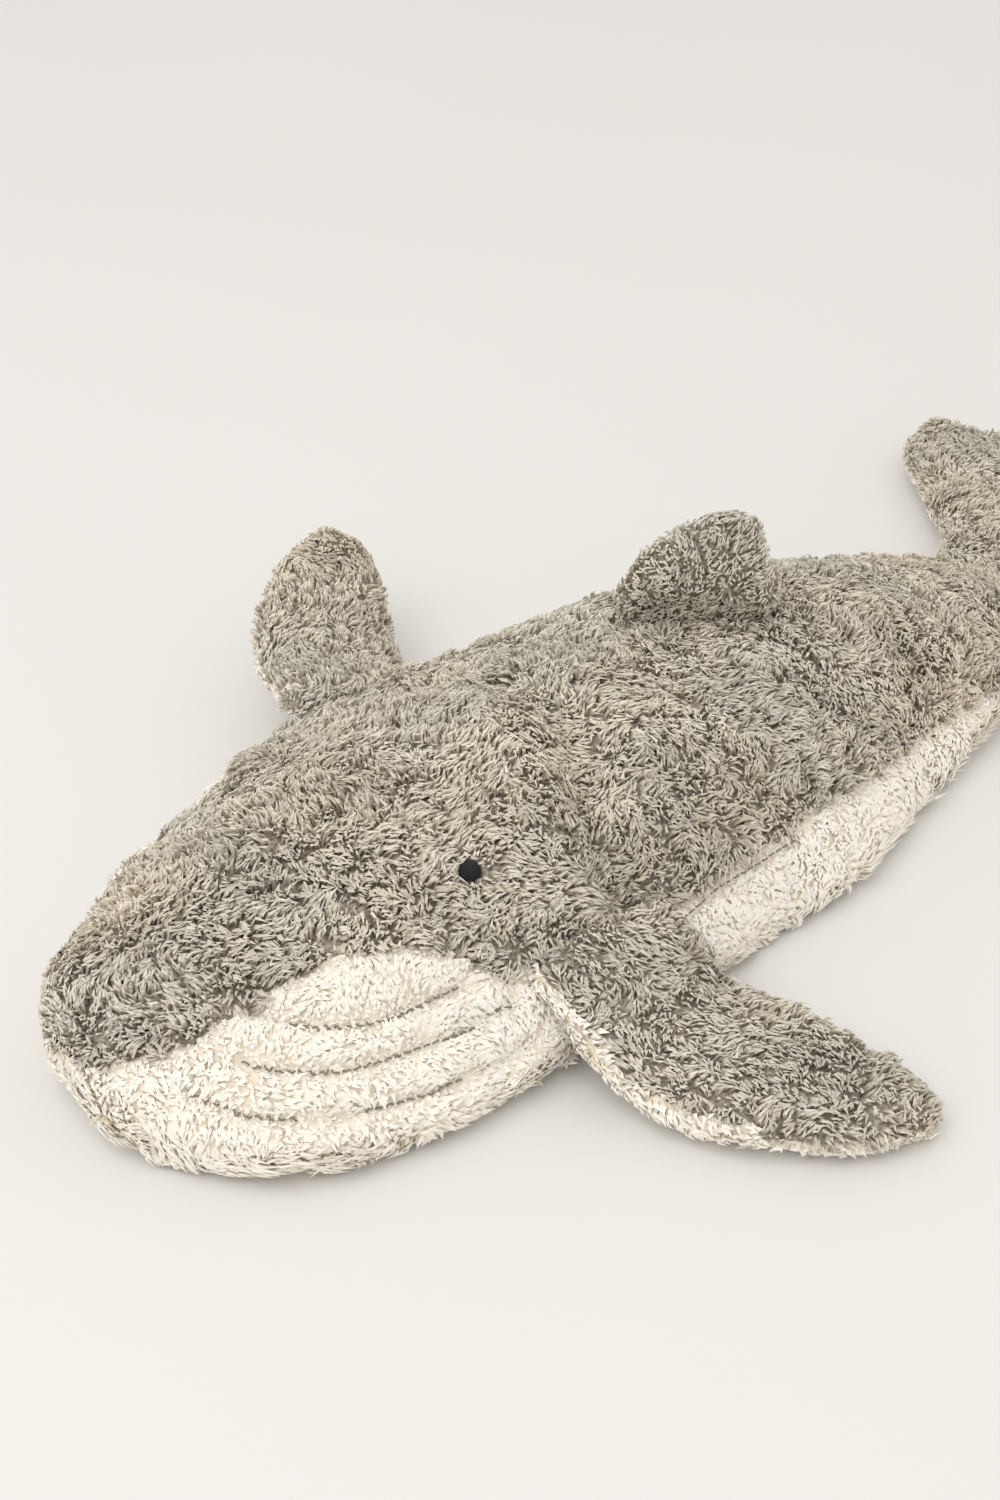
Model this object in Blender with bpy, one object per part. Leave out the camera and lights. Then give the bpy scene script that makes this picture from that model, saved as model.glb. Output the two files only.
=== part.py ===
"""A stuffed plush whale, slack and flat, lying on its belly.

Metres. The whale runs along X with its snout at low X and its left side at low Y. It rests on
the floor at zero. Each outer panel is its backing and combed pile together, as one thickness."""
import math

import bmesh
import bpy
import numpy as np
from mathutils import Matrix, Vector

# Cloth and seams
CLOTH = 0.005
FIN_CLOTH = 0.0035
SEAM_GAP = 0.0003
INSIDE_GAP = 0.0009
CUT_OVERRUN = 0.02
SEAT_DEPTH = 0.0005
WELD = 0.000002

# Body, from the snout to the seam of the tail fin
BODY_LENGTH = 0.405
LEFT_HALF_WIDTH = 0.083
RIGHT_HALF_WIDTH = 0.092
BODY_HEIGHT = 0.062
SNOUT_ROUND = 0.014
SNOUT_HEIGHT = 0.036
SNOUT_TIP_HEIGHT = 0.020
CHIN_ROUND = 0.016
TAIL_HALF_WIDTH = 0.031
TAIL_HEIGHT = 0.020
SIDE_HEIGHT = 0.010
SIDE_ROUND = 0.009
CROWN_POWER = 0.85

# The head has slumped towards its left, so its left cheek is blunter than its right
LEFT_HEAD_ROUND = 0.090
RIGHT_HEAD_ROUND = 0.134
LEFT_HEAD_POWER = 2.3
RIGHT_HEAD_POWER = 1.47

# Body outline between the head's round and the tail, as shares of its length, width and height
WIDTH_STATION_SHARES = (0.20, 0.37, 0.50, 0.61, 0.715, 0.84, 0.885, 0.94, 1.0)
WIDTH_SHARES = (1.0, 1.0, 1.0, 0.94, 0.71, 0.42, 0.32, 0.17, 0.0)
HEIGHT_STATION_SHARES = (0.0, 0.08, 0.16, 0.26, 0.37, 0.50, 0.62, 0.74, 0.86, 1.0)
HEIGHT_SHARES = (0.0, 0.32, 0.56, 0.80, 0.95, 1.0, 0.97, 0.82, 0.50, 0.0)
HEAD_STATIONS = 8
TRUNK_STATIONS = 12
CROWN_POINTS = 10
ROUND_POINTS = 3

# Seam between the grey back and the cream belly: its place along the body, and its height as a
# share of the body's height
SEAM_STATION_SHARES = (
    0.0, 0.006, 0.018, 0.042, 0.088, 0.145, 0.182, 0.220, 0.242, 0.257, 0.271, 0.286, 0.32, 0.41, 0.55,
    0.71, 0.84, 1.0
)
SEAM_HEIGHT_SHARES = (
    0.35, 0.44, 0.545, 0.605, 0.665, 0.738, 0.758, 0.740, 0.697, 0.646, 0.580, 0.505, 0.465, 0.450, 0.480,
    0.41, 0.292, 0.17
)
RIGHT_SEAM_SHARE = 0.62
RIGHT_SEAM_EASE = 0.014
SEAM_STEPS = 2
SEAM_BLEND = 0.002

# Throat tucks, each side: places along the body as shares of its length, and breadths from the
# middle as shares of the body's half width there
TUCK_SHARES = (
    ((0.111, 0.54), (0.142, 0.68), (0.176, 0.73), (0.217, 0.76), (0.246, 0.77)),
    ((0.086, 0.68), (0.099, 0.74), (0.135, 0.82), (0.174, 0.84), (0.217, 0.86), (0.268, 0.88)),
    ((0.048, 0.78), (0.065, 0.87), (0.111, 0.94), (0.177, 0.96), (0.231, 0.975), (0.270, 0.98)),
)
TUCK_DEPTH = 0.0018
TUCK_HALF_WIDTH = 0.0016
TUCK_END_SHARE = 0.2
TUCK_FADES = 4
TUCK_STEPS = 5

# Side fins, whose roots are sewn at a share of the body's height
FIN_AXIS_SHARE = 29 / 62
LEFT_FIN_PLACE = 0.142
RIGHT_FIN_PLACE = 0.162
LEFT_FIN_HALF_CHORD = 0.026
RIGHT_FIN_HALF_CHORD = 0.0225
LEFT_FIN_BREADTH = 0.070
RIGHT_FIN_BREADTH = 0.075
FIN_AXIS_HEIGHT = BODY_HEIGHT * FIN_AXIS_SHARE
FIN_DRAPE = 0.034
FIN_ROOT_HALF_THICKNESS = 0.0045
FIN_HALF_THICKNESS = 0.0085
FIN_EDGE_HALF_THICKNESS = 0.0024
FIN_REST_GAP = 0.0005
LEFT_FIN_SPAN = 0.093
LEFT_FIN_SWEEP = 0.040
LEFT_FIN_SWEEP_POWER = 2.0
RIGHT_FIN_SPAN = 0.082
RIGHT_FIN_SWEEP = 0.056
RIGHT_FIN_SWEEP_POWER = 1.45
RIGHT_FIN_RAISE = math.radians(21)
FIN_STATION_SHARES = (0.0, 0.14, 0.30, 0.46, 0.62, 0.76, 0.87, 0.95, 1.0)
FIN_CHORD_SHARES = (1.0, 1.05, 1.09, 1.08, 1.0, 0.83, 0.60, 0.38, 0.14)
FIN_THICKNESS_SHARES = (0.0, 0.75, 1.0, 1.0, 0.97, 0.90, 0.78, 0.62, 0.45)

# Back fin, whose root runs slantwise over the crown of the slack back
BACK_FIN_PLACE = 0.250
BACK_FIN_BREADTH = 0.0085
BACK_FIN_SLANT = math.radians(-33)
BACK_FIN_SWING = math.radians(50)
BACK_FIN_HALF_CHORD = 0.0235
BACK_FIN_SPAN = 0.0235
BACK_FIN_SWEEP = 0.024
BACK_FIN_ROOT_HALF_THICKNESS = 0.0035
BACK_FIN_HALF_THICKNESS = 0.0080
BACK_FIN_STATION_SHARES = (0.0, 0.18, 0.38, 0.58, 0.76, 0.90, 1.0)
BACK_FIN_CHORD_SHARES = (1.0, 1.04, 1.06, 1.03, 0.92, 0.72, 0.46)
BACK_FIN_THICKNESS_SHARES = (0.0, 0.72, 1.0, 1.0, 0.88, 0.66, 0.45)

# Tail fin
FLUKE_ROOT_HALF_WIDTH = 0.030
FLUKE_HALF_SPAN = 0.112
FLUKE_NOTCH = 0.088
FLUKE_TIP_OUT = 0.094
FLUKE_LOBE = 0.026
FLUKE_ROOT_HALF_THICKNESS = 0.0045
FLUKE_HALF_THICKNESS = 0.0085
FLUKE_EDGE_HALF_THICKNESS = 0.0024
FLUKE_LOBE_POWER = 1.5
FLUKE_STATION_SHARES = (0.0, 0.14, 0.28, 0.44, 0.60, 0.75, 0.88, 1.0)
FLUKE_SPREAD_SHARES = (0.0, 0.12, 0.32, 0.58, 0.80, 0.93, 0.99, 1.0)
FLUKE_LEAD_SHARES = (0.0, 0.16, 0.31, 0.46, 0.61, 0.75, 0.88, 1.0)
FLUKE_THICKNESS_SHARES = (0.0, 0.75, 1.0, 1.0, 0.92, 0.75, 0.50, 0.28)

# How a fin fills out: the share of its length where its cloth is full, the power of its swell
# across, and how far its rounded root turns
FIN_FULL_SHARE = 0.3
FIN_SWELL_POWER = 2.6
FIN_ROOT_TURN = math.radians(86)

# Points of each fin's grid
FIN_ACROSS = 9
FIN_ROOT_TURNS = 3
SWING_STEPS = 1
ROOT_SIDES = 16
FLUKE_ACROSS = 13
FILL_ACROSS = 7

# Eyes
EYE_PLACE = 0.1195
LEFT_EYE_BREADTH = 0.0385
RIGHT_EYE_BREADTH = 0.056
EYE_RADIUS = 0.0037
EYE_CROWN = 0.0022
EYE_POINTS = 16
EYE_TURNS = 3

# Grain pouch and its opening in the belly
POUCH_START = 0.112
POUCH_END = 0.300
STRIP_LENGTH = 0.150
STRIP_WIDTH = 0.020
STRIP_THICKNESS = 0.0014
STRIP_CENTRE = 0.206
SLIT_LENGTH = 0.140
SLIT_WIDTH = 0.0008

# Colours
GREY = (0.36, 0.335, 0.295)
CREAM = (0.86, 0.80, 0.68)
BLACK = (0.012, 0.013, 0.014)
FIBRE = (0.82, 0.81, 0.78)
LINEN = (0.62, 0.53, 0.40)
TAPE = (0.80, 0.77, 0.70)

# The two sides' sizes, by the side's sign: -1 is the whale's left and 1 its right
HALF_WIDTH = {-1: LEFT_HALF_WIDTH, 1: RIGHT_HALF_WIDTH}
HEAD_ROUND = {-1: LEFT_HEAD_ROUND, 1: RIGHT_HEAD_ROUND}
HEAD_POWER = {-1: LEFT_HEAD_POWER, 1: RIGHT_HEAD_POWER}
FIN_PLACE = {-1: LEFT_FIN_PLACE, 1: RIGHT_FIN_PLACE}
FIN_HALF_CHORD = {-1: LEFT_FIN_HALF_CHORD, 1: RIGHT_FIN_HALF_CHORD}
FIN_BREADTH = {-1: LEFT_FIN_BREADTH, 1: RIGHT_FIN_BREADTH}
EYE_BREADTH = {-1: LEFT_EYE_BREADTH, 1: RIGHT_EYE_BREADTH}

# The middle of the whole length, from the snout to the fullest of the tail fin's lobes
FLUKE_REACH = FLUKE_NOTCH + (FLUKE_TIP_OUT - FLUKE_NOTCH) / 4 + FLUKE_LOBE
ORIGIN_PLACE = (BODY_LENGTH + SEAM_GAP + FLUKE_ROOT_HALF_THICKNESS + FLUKE_REACH) / 2


def material(name, colour, roughness):
    made = bpy.data.materials.new(name)
    made.use_nodes = True
    shader = made.node_tree.nodes["Principled BSDF"]
    shader.inputs["Base Color"].default_value = (*colour, 1)
    shader.inputs["Roughness"].default_value = roughness
    shader.inputs["Metallic"].default_value = 0
    made.diffuse_color = (*colour, 1)
    return made


def eased(places, values, place):
    """A smooth curve through the values that never swings past them."""
    places = np.asarray(places, float)
    values = np.asarray(values, float)
    steps = np.diff(places)
    slopes = np.diff(values) / steps
    turns = np.zeros(len(values))
    for i in range(1, len(values) - 1):
        if slopes[i - 1] * slopes[i] > 0:
            turns[i] = 2 * slopes[i - 1] * slopes[i] / (slopes[i - 1] + slopes[i])
    turns[0] = slopes[0]
    turns[-1] = slopes[-1]
    place = np.clip(place, places[0], places[-1])
    i = min(int(np.searchsorted(places, place, side="right")) - 1, len(steps) - 1)
    t = (place - places[i]) / steps[i]
    return (
        (2 * t**3 - 3 * t**2 + 1) * values[i]
        + (t**3 - 2 * t**2 + t) * steps[i] * turns[i]
        + (3 * t**2 - 2 * t**3) * values[i + 1]
        + (t**3 - t**2) * steps[i] * turns[i + 1]
    )


def gentle(share):
    """Eases from 0 to 1 without a corner at either end."""
    share = min(max(share, 0.0), 1.0)
    return share * share * (3 - 2 * share)


def half_width(along, inset, side):
    """The body's breadth at its widest line, from the middle to one side."""
    share = eased(WIDTH_STATION_SHARES, WIDTH_SHARES, along / BODY_LENGTH)
    width = TAIL_HALF_WIDTH + share * (HALF_WIDTH[side] - TAIL_HALF_WIDTH) - inset
    rounding = HEAD_ROUND[side]
    if along < rounding:
        power = HEAD_POWER[side]
        back = (rounding - along) / (rounding - inset)
        width *= max(0.0, 1 - back**power) ** (1 / power)
    return width


def side_height(along):
    """Height of the widest line."""
    return SNOUT_TIP_HEIGHT + (SIDE_HEIGHT - SNOUT_TIP_HEIGHT) * gentle(along / LEFT_HEAD_ROUND)


def crown_height(along, inset):
    """Height of the back's middle line."""
    share = eased(HEIGHT_STATION_SHARES, HEIGHT_SHARES, along / BODY_LENGTH)
    low = SNOUT_HEIGHT + (TAIL_HEIGHT - SNOUT_HEIGHT) * (along / BODY_LENGTH) ** 2
    height = low + share * (BODY_HEIGHT - low) - inset
    if along < SNOUT_ROUND:
        back = (SNOUT_ROUND - along) / (SNOUT_ROUND - inset)
        low = side_height(along)
        height = low + (height - low) * math.sqrt(max(0.0, 1 - back**2))
    return height


def floor_height(along, inset):
    """Height of the underside, which rises at the chin."""
    if along > CHIN_ROUND + inset:
        return inset
    back = (CHIN_ROUND + inset - along) / CHIN_ROUND
    return inset + (side_height(along) - inset) * (1 - math.sqrt(max(0.0, 1 - back**2)))


def crown_point(along, turn, inset, side):
    """Breadth and height on the upper side: turn is 0 at the middle line and 1 at the widest."""
    angle = turn * math.pi / 2
    low = side_height(along)
    rise = crown_height(along, inset) - low
    return (
        half_width(along, inset, side) * math.sin(angle),
        low + rise * math.cos(angle) ** (2 * CROWN_POWER),
    )


def crown_at(along, breadth):
    """Height of the outer surface above a place on the floor plan."""
    side = -1 if breadth < 0 else 1
    reach = min(abs(breadth) / half_width(along, 0, side), 1.0)
    return crown_point(along, math.asin(reach) / (math.pi / 2), 0, side)[1]


def half_section(along, inset, lift, side):
    """One side of the body's outline, from the middle of the back down to the floor."""
    line = [crown_point(along, i / CROWN_POINTS, inset, side) for i in range(CROWN_POINTS + 1)]
    width = half_width(along, inset, side)
    low = side_height(along)
    floor = floor_height(along, inset) + lift
    round_in = min(SIDE_ROUND - inset / 2, width / 2)
    for i in range(1, ROUND_POINTS + 1):
        angle = math.pi / 2 * i / ROUND_POINTS
        line.append((width - round_in * (1 - math.cos(angle)), low - (low - floor) * math.sin(angle)))
    return [(along - ORIGIN_PLACE, side * b, max(h, floor)) for b, h in line]


def section(along, inset, lift=0.0):
    """The body's outline at one station, from the middle of the back round by the right side."""
    right = half_section(along, inset, lift, 1)
    left = half_section(along, inset, lift, -1)
    return right + left[:0:-1]


def body_stations(inset, start, end):
    """Places of the stations, close together where the snout curves away."""
    head = []
    if start is None:
        start = LEFT_HEAD_ROUND
        turns = [math.pi / 2 * i / HEAD_STATIONS for i in range(1, HEAD_STATIONS)]
        head = [start - (start - inset) * math.cos(t) for t in turns]
    reach = end - start
    count = max(2, round(TRUNK_STATIONS * reach / (BODY_LENGTH - LEFT_HEAD_ROUND)))
    return head + [start + reach * i / count for i in range(count + 1)]


def build(name, points, faces, look=None):
    """An object from points and faces, its faces turned outwards."""
    mesh = bpy.data.meshes.new(name)
    mesh.from_pydata([tuple(p) for p in points], [], faces)
    shape = bmesh.new()
    shape.from_mesh(mesh)
    bmesh.ops.recalc_face_normals(shape, faces=shape.faces)
    shape.to_mesh(mesh)
    shape.free()
    if look:
        mesh.materials.append(look)
    made = bpy.data.objects.new(name, mesh)
    bpy.context.scene.collection.objects.link(made)
    return made


def lofted(name, rings, nose, look=None):
    """A closed skin over rings of points, ended by flat caps, or by the nose at the first ring."""
    count = len(rings[0])
    points = [p for ring in rings for p in ring]
    faces = []
    for i in range(len(rings) - 1):
        for j in range(count):
            k = (j + 1) % count
            a, b = i * count, (i + 1) * count
            faces.append((a + j, a + k, b + k, b + j))
    last = (len(rings) - 1) * count
    faces.append(tuple(last + j for j in range(count)))
    if nose is None:
        faces.append(tuple(range(count)))
    else:
        points.append(nose)
        faces += [((j + 1) % count, j, len(points) - 1) for j in range(count)]
    return build(name, points, faces, look)


def body_form(name, inset, start=None, end=None, lift=0.0, look=None):
    """The body's whole form drawn in by inset, or the length of it between two places."""
    end = BODY_LENGTH - inset if end is None else end
    rings = [section(s, inset, lift) for s in body_stations(inset, start, end)]
    nose = None
    if start is None:
        nose = (inset - ORIGIN_PLACE, 0, SNOUT_TIP_HEIGHT)
    return lofted(name, rings, nose, look)


def combine(target, other, operation, keep=False):
    """Cuts or crops the target by the other shape and applies it."""
    step = target.modifiers.new(operation, "BOOLEAN")
    step.operation = operation
    step.solver = "EXACT"
    step.object = other
    graph = bpy.context.evaluated_depsgraph_get()
    result = bpy.data.meshes.new_from_object(target.evaluated_get(graph))
    target.modifiers.clear()
    shape = bmesh.new()
    shape.from_mesh(result)
    bmesh.ops.remove_doubles(shape, verts=shape.verts, dist=WELD)
    bmesh.ops.dissolve_degenerate(shape, edges=shape.edges, dist=WELD)
    bmesh.ops.triangulate(shape, faces=shape.faces)
    shape.to_mesh(result)
    shape.free()
    old = target.data
    target.data = result
    bpy.data.meshes.remove(old)
    if not keep:
        bpy.data.objects.remove(other)


def box(name, low, high):
    """A box between two corners."""
    points = [(x, y, z) for x in (low[0], high[0]) for y in (low[1], high[1]) for z in (low[2], high[2])]
    faces = [(0, 1, 3, 2), (4, 6, 7, 5), (0, 4, 5, 1), (2, 3, 7, 6), (0, 2, 6, 4), (1, 5, 7, 3)]
    return build(name, points, faces)


def seam_height(along, breadth):
    """Height of the seam, which lies lower on the right, where the head has rolled under."""
    height = BODY_HEIGHT * eased(SEAM_STATION_SHARES, SEAM_HEIGHT_SHARES, along / BODY_LENGTH)
    drop = gentle(along / RIGHT_SEAM_EASE) * (1 - gentle((along - POUCH_START) / (POUCH_END - POUCH_START)))
    across = min(max((breadth + SEAM_BLEND) / (2 * SEAM_BLEND), 0.0), 1.0)
    return height * (1 - (1 - RIGHT_SEAM_SHARE) * drop * across)


def seam_side(name, above, low, high):
    """The room above or below the seam between two breadths, to crop the cover with."""
    reach = CUT_OVERRUN
    places = [-reach]
    for first, last in zip(SEAM_STATION_SHARES, SEAM_STATION_SHARES[1:]):
        places += [BODY_LENGTH * (first + (last - first) * i / SEAM_STEPS) for i in range(SEAM_STEPS)]
    places += [BODY_LENGTH, BODY_LENGTH + reach]
    shift = SEAM_GAP / 2 if above else -SEAM_GAP / 2
    far = BODY_HEIGHT + reach if above else -reach
    rings = []
    for y in sorted({low, max(low, -SEAM_BLEND), min(high, SEAM_BLEND), high}):
        line = [(s - ORIGIN_PLACE, y, seam_height(s, y) + shift) for s in places]
        rings.append(line + [(line[-1][0], y, far), (line[0][0], y, far)])
    return lofted(name, rings, None)


def cylinder(name, start, end, radius, sides):
    """A round cutter between two points."""
    start, end = Vector(start), Vector(end)
    turn = (end - start).to_track_quat("Z", "Y").to_matrix()
    rings = []
    for centre in (start, end):
        angles = [2 * math.pi * i / sides for i in range(sides)]
        rings.append([centre + turn @ Vector((radius * math.cos(a), radius * math.sin(a), 0)) for a in angles])
    return lofted(name, rings, None)


def swell(share_across):
    """How a stuffed edge fills out, from 0 at the seam to 1 at the middle."""
    return math.sqrt(max(0.0, 1 - abs(share_across) ** FIN_SWELL_POWER))


class Fin:
    """A stuffed fin on a sewn root: plan(u, v) gives its place outwards and along the root."""

    def __init__(self, plan, root, thick, edge, thickness, droop, place, across):
        self.plan = plan
        self.root = root
        self.thick = thick
        self.edge = edge
        self.thickness = thickness
        self.droop = droop
        self.place = place
        self.across = across

    def full(self, u):
        """Half the thickness along the middle, before the edge's own thickness."""
        if u < FIN_FULL_SHARE:
            return self.root + (self.thick - self.root) * self.thickness(u)
        return self.thick * self.thickness(u)

    def half(self, u, v):
        """Half the thickness at a place on the plan."""
        full = max(self.full(u), self.edge)
        return self.edge + (full - self.edge) * swell(v)

    def rows(self, stations, reach, shrink):
        """Rows of places, each with its half thickness, from inside the rounded root to the tip."""
        rows = []
        shares = [reach * (2 * j / (self.across - 1) - 1) for j in range(self.across)]
        for turn in range(FIN_ROOT_TURNS, 0, -1):
            angle = FIN_ROOT_TURN * turn / FIN_ROOT_TURNS
            row = []
            for v in shares:
                half = self.half(0, v)
                out, along = self.plan(0, v)
                row.append((out - half * math.sin(angle), along, half * math.cos(angle) - shrink, 0))
            rows.append(row)
        for u in stations:
            row = []
            for v in shares:
                out, along = self.plan(u, v)
                row.append((out, along, self.half(u, v) - shrink, self.droop(u)))
            rows.append(row)
        return rows

    def panel(self, name, side, stations, look):
        """One cloth side of the fin, from its outer face to the cloth's thickness below it."""
        rows = self.rows(stations, 1, 0)
        outer = [[self.place(o, a, m + side * max(h, SEAM_GAP)) for o, a, h, m in row] for row in rows]
        inner = [[self.place(o, a, m + side * max(h - FIN_CLOTH, SEAM_GAP / 2)) for o, a, h, m in row]
                 for row in rows]
        return slab(name, outer, inner, look)

    def fill(self, name, stations, look):
        """The stuffing between the two sides."""
        inset = FIN_CLOTH + INSIDE_GAP
        least = SEAM_GAP
        rows = []
        for u in stations:
            full = max(self.full(u), self.edge)
            if full < inset + 3 * least:
                continue
            room = (inset + least - self.edge) / (full - self.edge)
            reach = (1 - room**2) ** (1 / FIN_SWELL_POWER)
            row = []
            for j in range(FILL_ACROSS):
                v = reach * (2 * j / (FILL_ACROSS - 1) - 1)
                out, along = self.plan(u, v)
                row.append((out, along, max(self.half(u, v) - inset, least), self.droop(u)))
            rows.append(row)
        upper = [[self.place(o, a, m + h) for o, a, h, m in row] for row in rows]
        lower = [[self.place(o, a, m - h) for o, a, h, m in row] for row in rows]
        return slab(name, upper, lower, look)


def slab(name, upper, lower, look):
    """A closed sheet between two grids of the same shape."""
    rows, columns = len(upper), len(upper[0])
    points = [p for grid in (upper, lower) for row in grid for p in row]
    under = rows * columns
    faces = []
    for i in range(rows - 1):
        for j in range(columns - 1):
            a, b = i * columns + j, (i + 1) * columns + j
            faces.append((a, a + 1, b + 1, b))
            faces.append((under + a, under + b, under + b + 1, under + a + 1))
    rim = [j for j in range(columns)]
    rim += [i * columns + columns - 1 for i in range(1, rows)]
    rim += [(rows - 1) * columns + j for j in range(columns - 2, -1, -1)]
    rim += [i * columns for i in range(rows - 2, 0, -1)]
    for a, b in zip(rim, rim[1:] + rim[:1]):
        faces.append((a, b, under + b, under + a))
    return build(name, points, faces, look)


def side_fin(side, span, sweep, power):
    """A side fin as it lies on the floor: side is -1 for the whale's left and 1 for its right."""

    def plan(u, v):
        lean = math.atan2(power * sweep * u ** (power - 1), span)
        chord = FIN_HALF_CHORD[side] * eased(FIN_STATION_SHARES, FIN_CHORD_SHARES, u)
        return span * u - v * chord * math.sin(lean), sweep * u**power + v * chord * math.cos(lean)

    def thickness(u):
        return eased(FIN_STATION_SHARES, FIN_THICKNESS_SHARES, u)

    def droop(u):
        lying = FIN_DRAPE / span
        half = max(FIN_HALF_THICKNESS * thickness(max(u, lying)), FIN_EDGE_HALF_THICKNESS)
        return -gentle(u / lying) * (FIN_AXIS_HEIGHT - FIN_REST_GAP - half)

    def place(out, along, up):
        return (
            FIN_PLACE[side] + along - ORIGIN_PLACE,
            side * (FIN_BREADTH[side] + out),
            FIN_AXIS_HEIGHT + up,
        )

    return Fin(plan, FIN_ROOT_HALF_THICKNESS, FIN_HALF_THICKNESS, FIN_EDGE_HALF_THICKNESS,
               thickness, droop, place, FIN_ACROSS)


def back_fin():
    """The fin on the back: outwards is up, and its thickness lies across its slanted root."""
    height = back_root_height()

    def plan(u, v):
        lean = math.atan2(2 * BACK_FIN_SWEEP * u, BACK_FIN_SPAN)
        chord = BACK_FIN_HALF_CHORD * eased(BACK_FIN_STATION_SHARES, BACK_FIN_CHORD_SHARES, u)
        out = BACK_FIN_SPAN * u - v * chord * math.sin(lean) * u
        return out, BACK_FIN_SWEEP * u**2 + v * chord * math.cos(lean * u)

    def thickness(u):
        return eased(BACK_FIN_STATION_SHARES, BACK_FIN_THICKNESS_SHARES, u)

    def place(out, along, across):
        x, y = back_root_place(along, across)
        return x, y, height + out

    return Fin(plan, BACK_FIN_ROOT_HALF_THICKNESS, BACK_FIN_HALF_THICKNESS, FIN_EDGE_HALF_THICKNESS,
               thickness, lambda u: 0.0, place, FIN_ACROSS)


def back_root_place(along, across):
    """A place on the floor plan from distances along and across the back fin's root."""
    cosine, sine = math.cos(BACK_FIN_SLANT), math.sin(BACK_FIN_SLANT)
    return (
        BACK_FIN_PLACE + along * cosine - across * sine - ORIGIN_PLACE,
        BACK_FIN_BREADTH + along * sine + across * cosine,
    )


def back_root_height():
    """The root's line lies level with the highest point of the back under it."""
    ends = [back_root_place(s * BACK_FIN_HALF_CHORD, 0) for s in (-1, 0, 1)]
    return max(crown_at(x + ORIGIN_PLACE, y) for x, y in ends)


def tail_fin():
    """The tail fin: outwards runs along the body, its two lobes to the sides."""
    root_place = BODY_LENGTH + SEAM_GAP + FLUKE_ROOT_HALF_THICKNESS

    def plan(u, v):
        spread = eased(FLUKE_STATION_SHARES, FLUKE_SPREAD_SHARES, u)
        across = FLUKE_ROOT_HALF_WIDTH + spread * (FLUKE_HALF_SPAN - FLUKE_ROOT_HALF_WIDTH)
        lead = FLUKE_TIP_OUT * eased(FLUKE_STATION_SHARES, FLUKE_LEAD_SHARES, u)
        middle = FLUKE_NOTCH * u
        out = middle + (lead - middle) * v**2
        out += FLUKE_LOBE * u**2 * math.sin(math.pi * abs(v)) ** FLUKE_LOBE_POWER
        return out, v * across

    def thickness(u):
        return eased(FLUKE_STATION_SHARES, FLUKE_THICKNESS_SHARES, u)

    def place(out, along, up):
        return (root_place + out - ORIGIN_PLACE, along, TAIL_HEIGHT / 2 + up)

    return Fin(plan, FLUKE_ROOT_HALF_THICKNESS, FLUKE_HALF_THICKNESS, FLUKE_EDGE_HALF_THICKNESS,
               thickness, lambda u: 0.0, place, FLUKE_ACROSS)


def surface_frame(along, breadth):
    """A point on the upper side and the outward direction there."""
    step = SEAM_GAP
    here = Vector((along, breadth, crown_at(along, breadth)))
    ahead = Vector((along + step, breadth, crown_at(along + step, breadth)))
    aside = Vector((along, breadth + step, crown_at(along, breadth + step)))
    normal = (ahead - here).cross(aside - here).normalized()
    return here - Vector((ORIGIN_PLACE, 0, 0)), normal


def eye(name, side, look):
    """A domed knot of thread on a small flat seat."""
    point, normal = surface_frame(EYE_PLACE, side * EYE_BREADTH[side])
    turn = normal.to_track_quat("Z", "Y").to_matrix()
    base = point - normal * (SEAT_DEPTH - SEAM_GAP)
    rings = []
    for i in range(EYE_TURNS + 1):
        angle = math.pi / 2 * i / (EYE_TURNS + 1)
        radius = EYE_RADIUS * math.cos(angle)
        rise = EYE_CROWN * math.sin(angle) + (SEAT_DEPTH if i else 0)
        angles = [2 * math.pi * k / EYE_POINTS for k in range(EYE_POINTS)]
        rings.append([base + turn @ Vector((radius * math.cos(a), radius * math.sin(a), rise)) for a in angles])
    rings.reverse()
    return lofted(name, rings, base + normal * (EYE_CROWN + SEAT_DEPTH), look)


def eye_seat(side):
    """The cutter that levels the cloth under an eye."""
    point, normal = surface_frame(EYE_PLACE, side * EYE_BREADTH[side])
    floor = point - normal * SEAT_DEPTH
    return cylinder("eye_seat", floor, floor + normal * CUT_OVERRUN, EYE_RADIUS + SEAM_GAP, EYE_POINTS)


def tuck(side, shares):
    """One sewn throat tuck, as a narrow wedge that follows the jaw's surface."""
    rings = []
    places, breadths = zip(*shares)
    for i in range(TUCK_STEPS + 1):
        t = i / TUCK_STEPS
        place = places[0] + (places[-1] - places[0]) * t
        along = BODY_LENGTH * place
        share = eased(places, breadths, place)
        if side > 0:
            share = 1 - (1 - share) * RIGHT_SEAM_SHARE
        breadth = side * half_width(along, 0, side) * share
        point, normal = surface_frame(along, breadth)
        across = normal.cross(Vector((1, 0, 0))).normalized()
        fade = TUCK_END_SHARE + (1 - TUCK_END_SHARE) * gentle(TUCK_FADES * min(t, 1 - t))
        deep = point - normal * TUCK_DEPTH * fade
        lift = point + normal * TUCK_DEPTH
        wide = across * TUCK_HALF_WIDTH * (1 + fade)
        rings.append([deep, lift + wide, lift - wide])
    return lofted("tuck", rings, None)


def root_bar(name, gap):
    """A bar along a fin's root, larger than the root by a gap, to cut with."""
    radius = BACK_FIN_ROOT_HALF_THICKNESS if name == "back_fin" else FIN_ROOT_HALF_THICKNESS
    return cylinder("root_bar", *roots[name], radius + gap, ROOT_SIDES)


def about_root(name, angle):
    """The turn of a fin about its root's line."""
    start, end = (Vector(p) for p in roots[name])
    move = Matrix.Translation(start)
    return move @ Matrix.Rotation(angle, 4, end - start) @ move.inverted()


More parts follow.
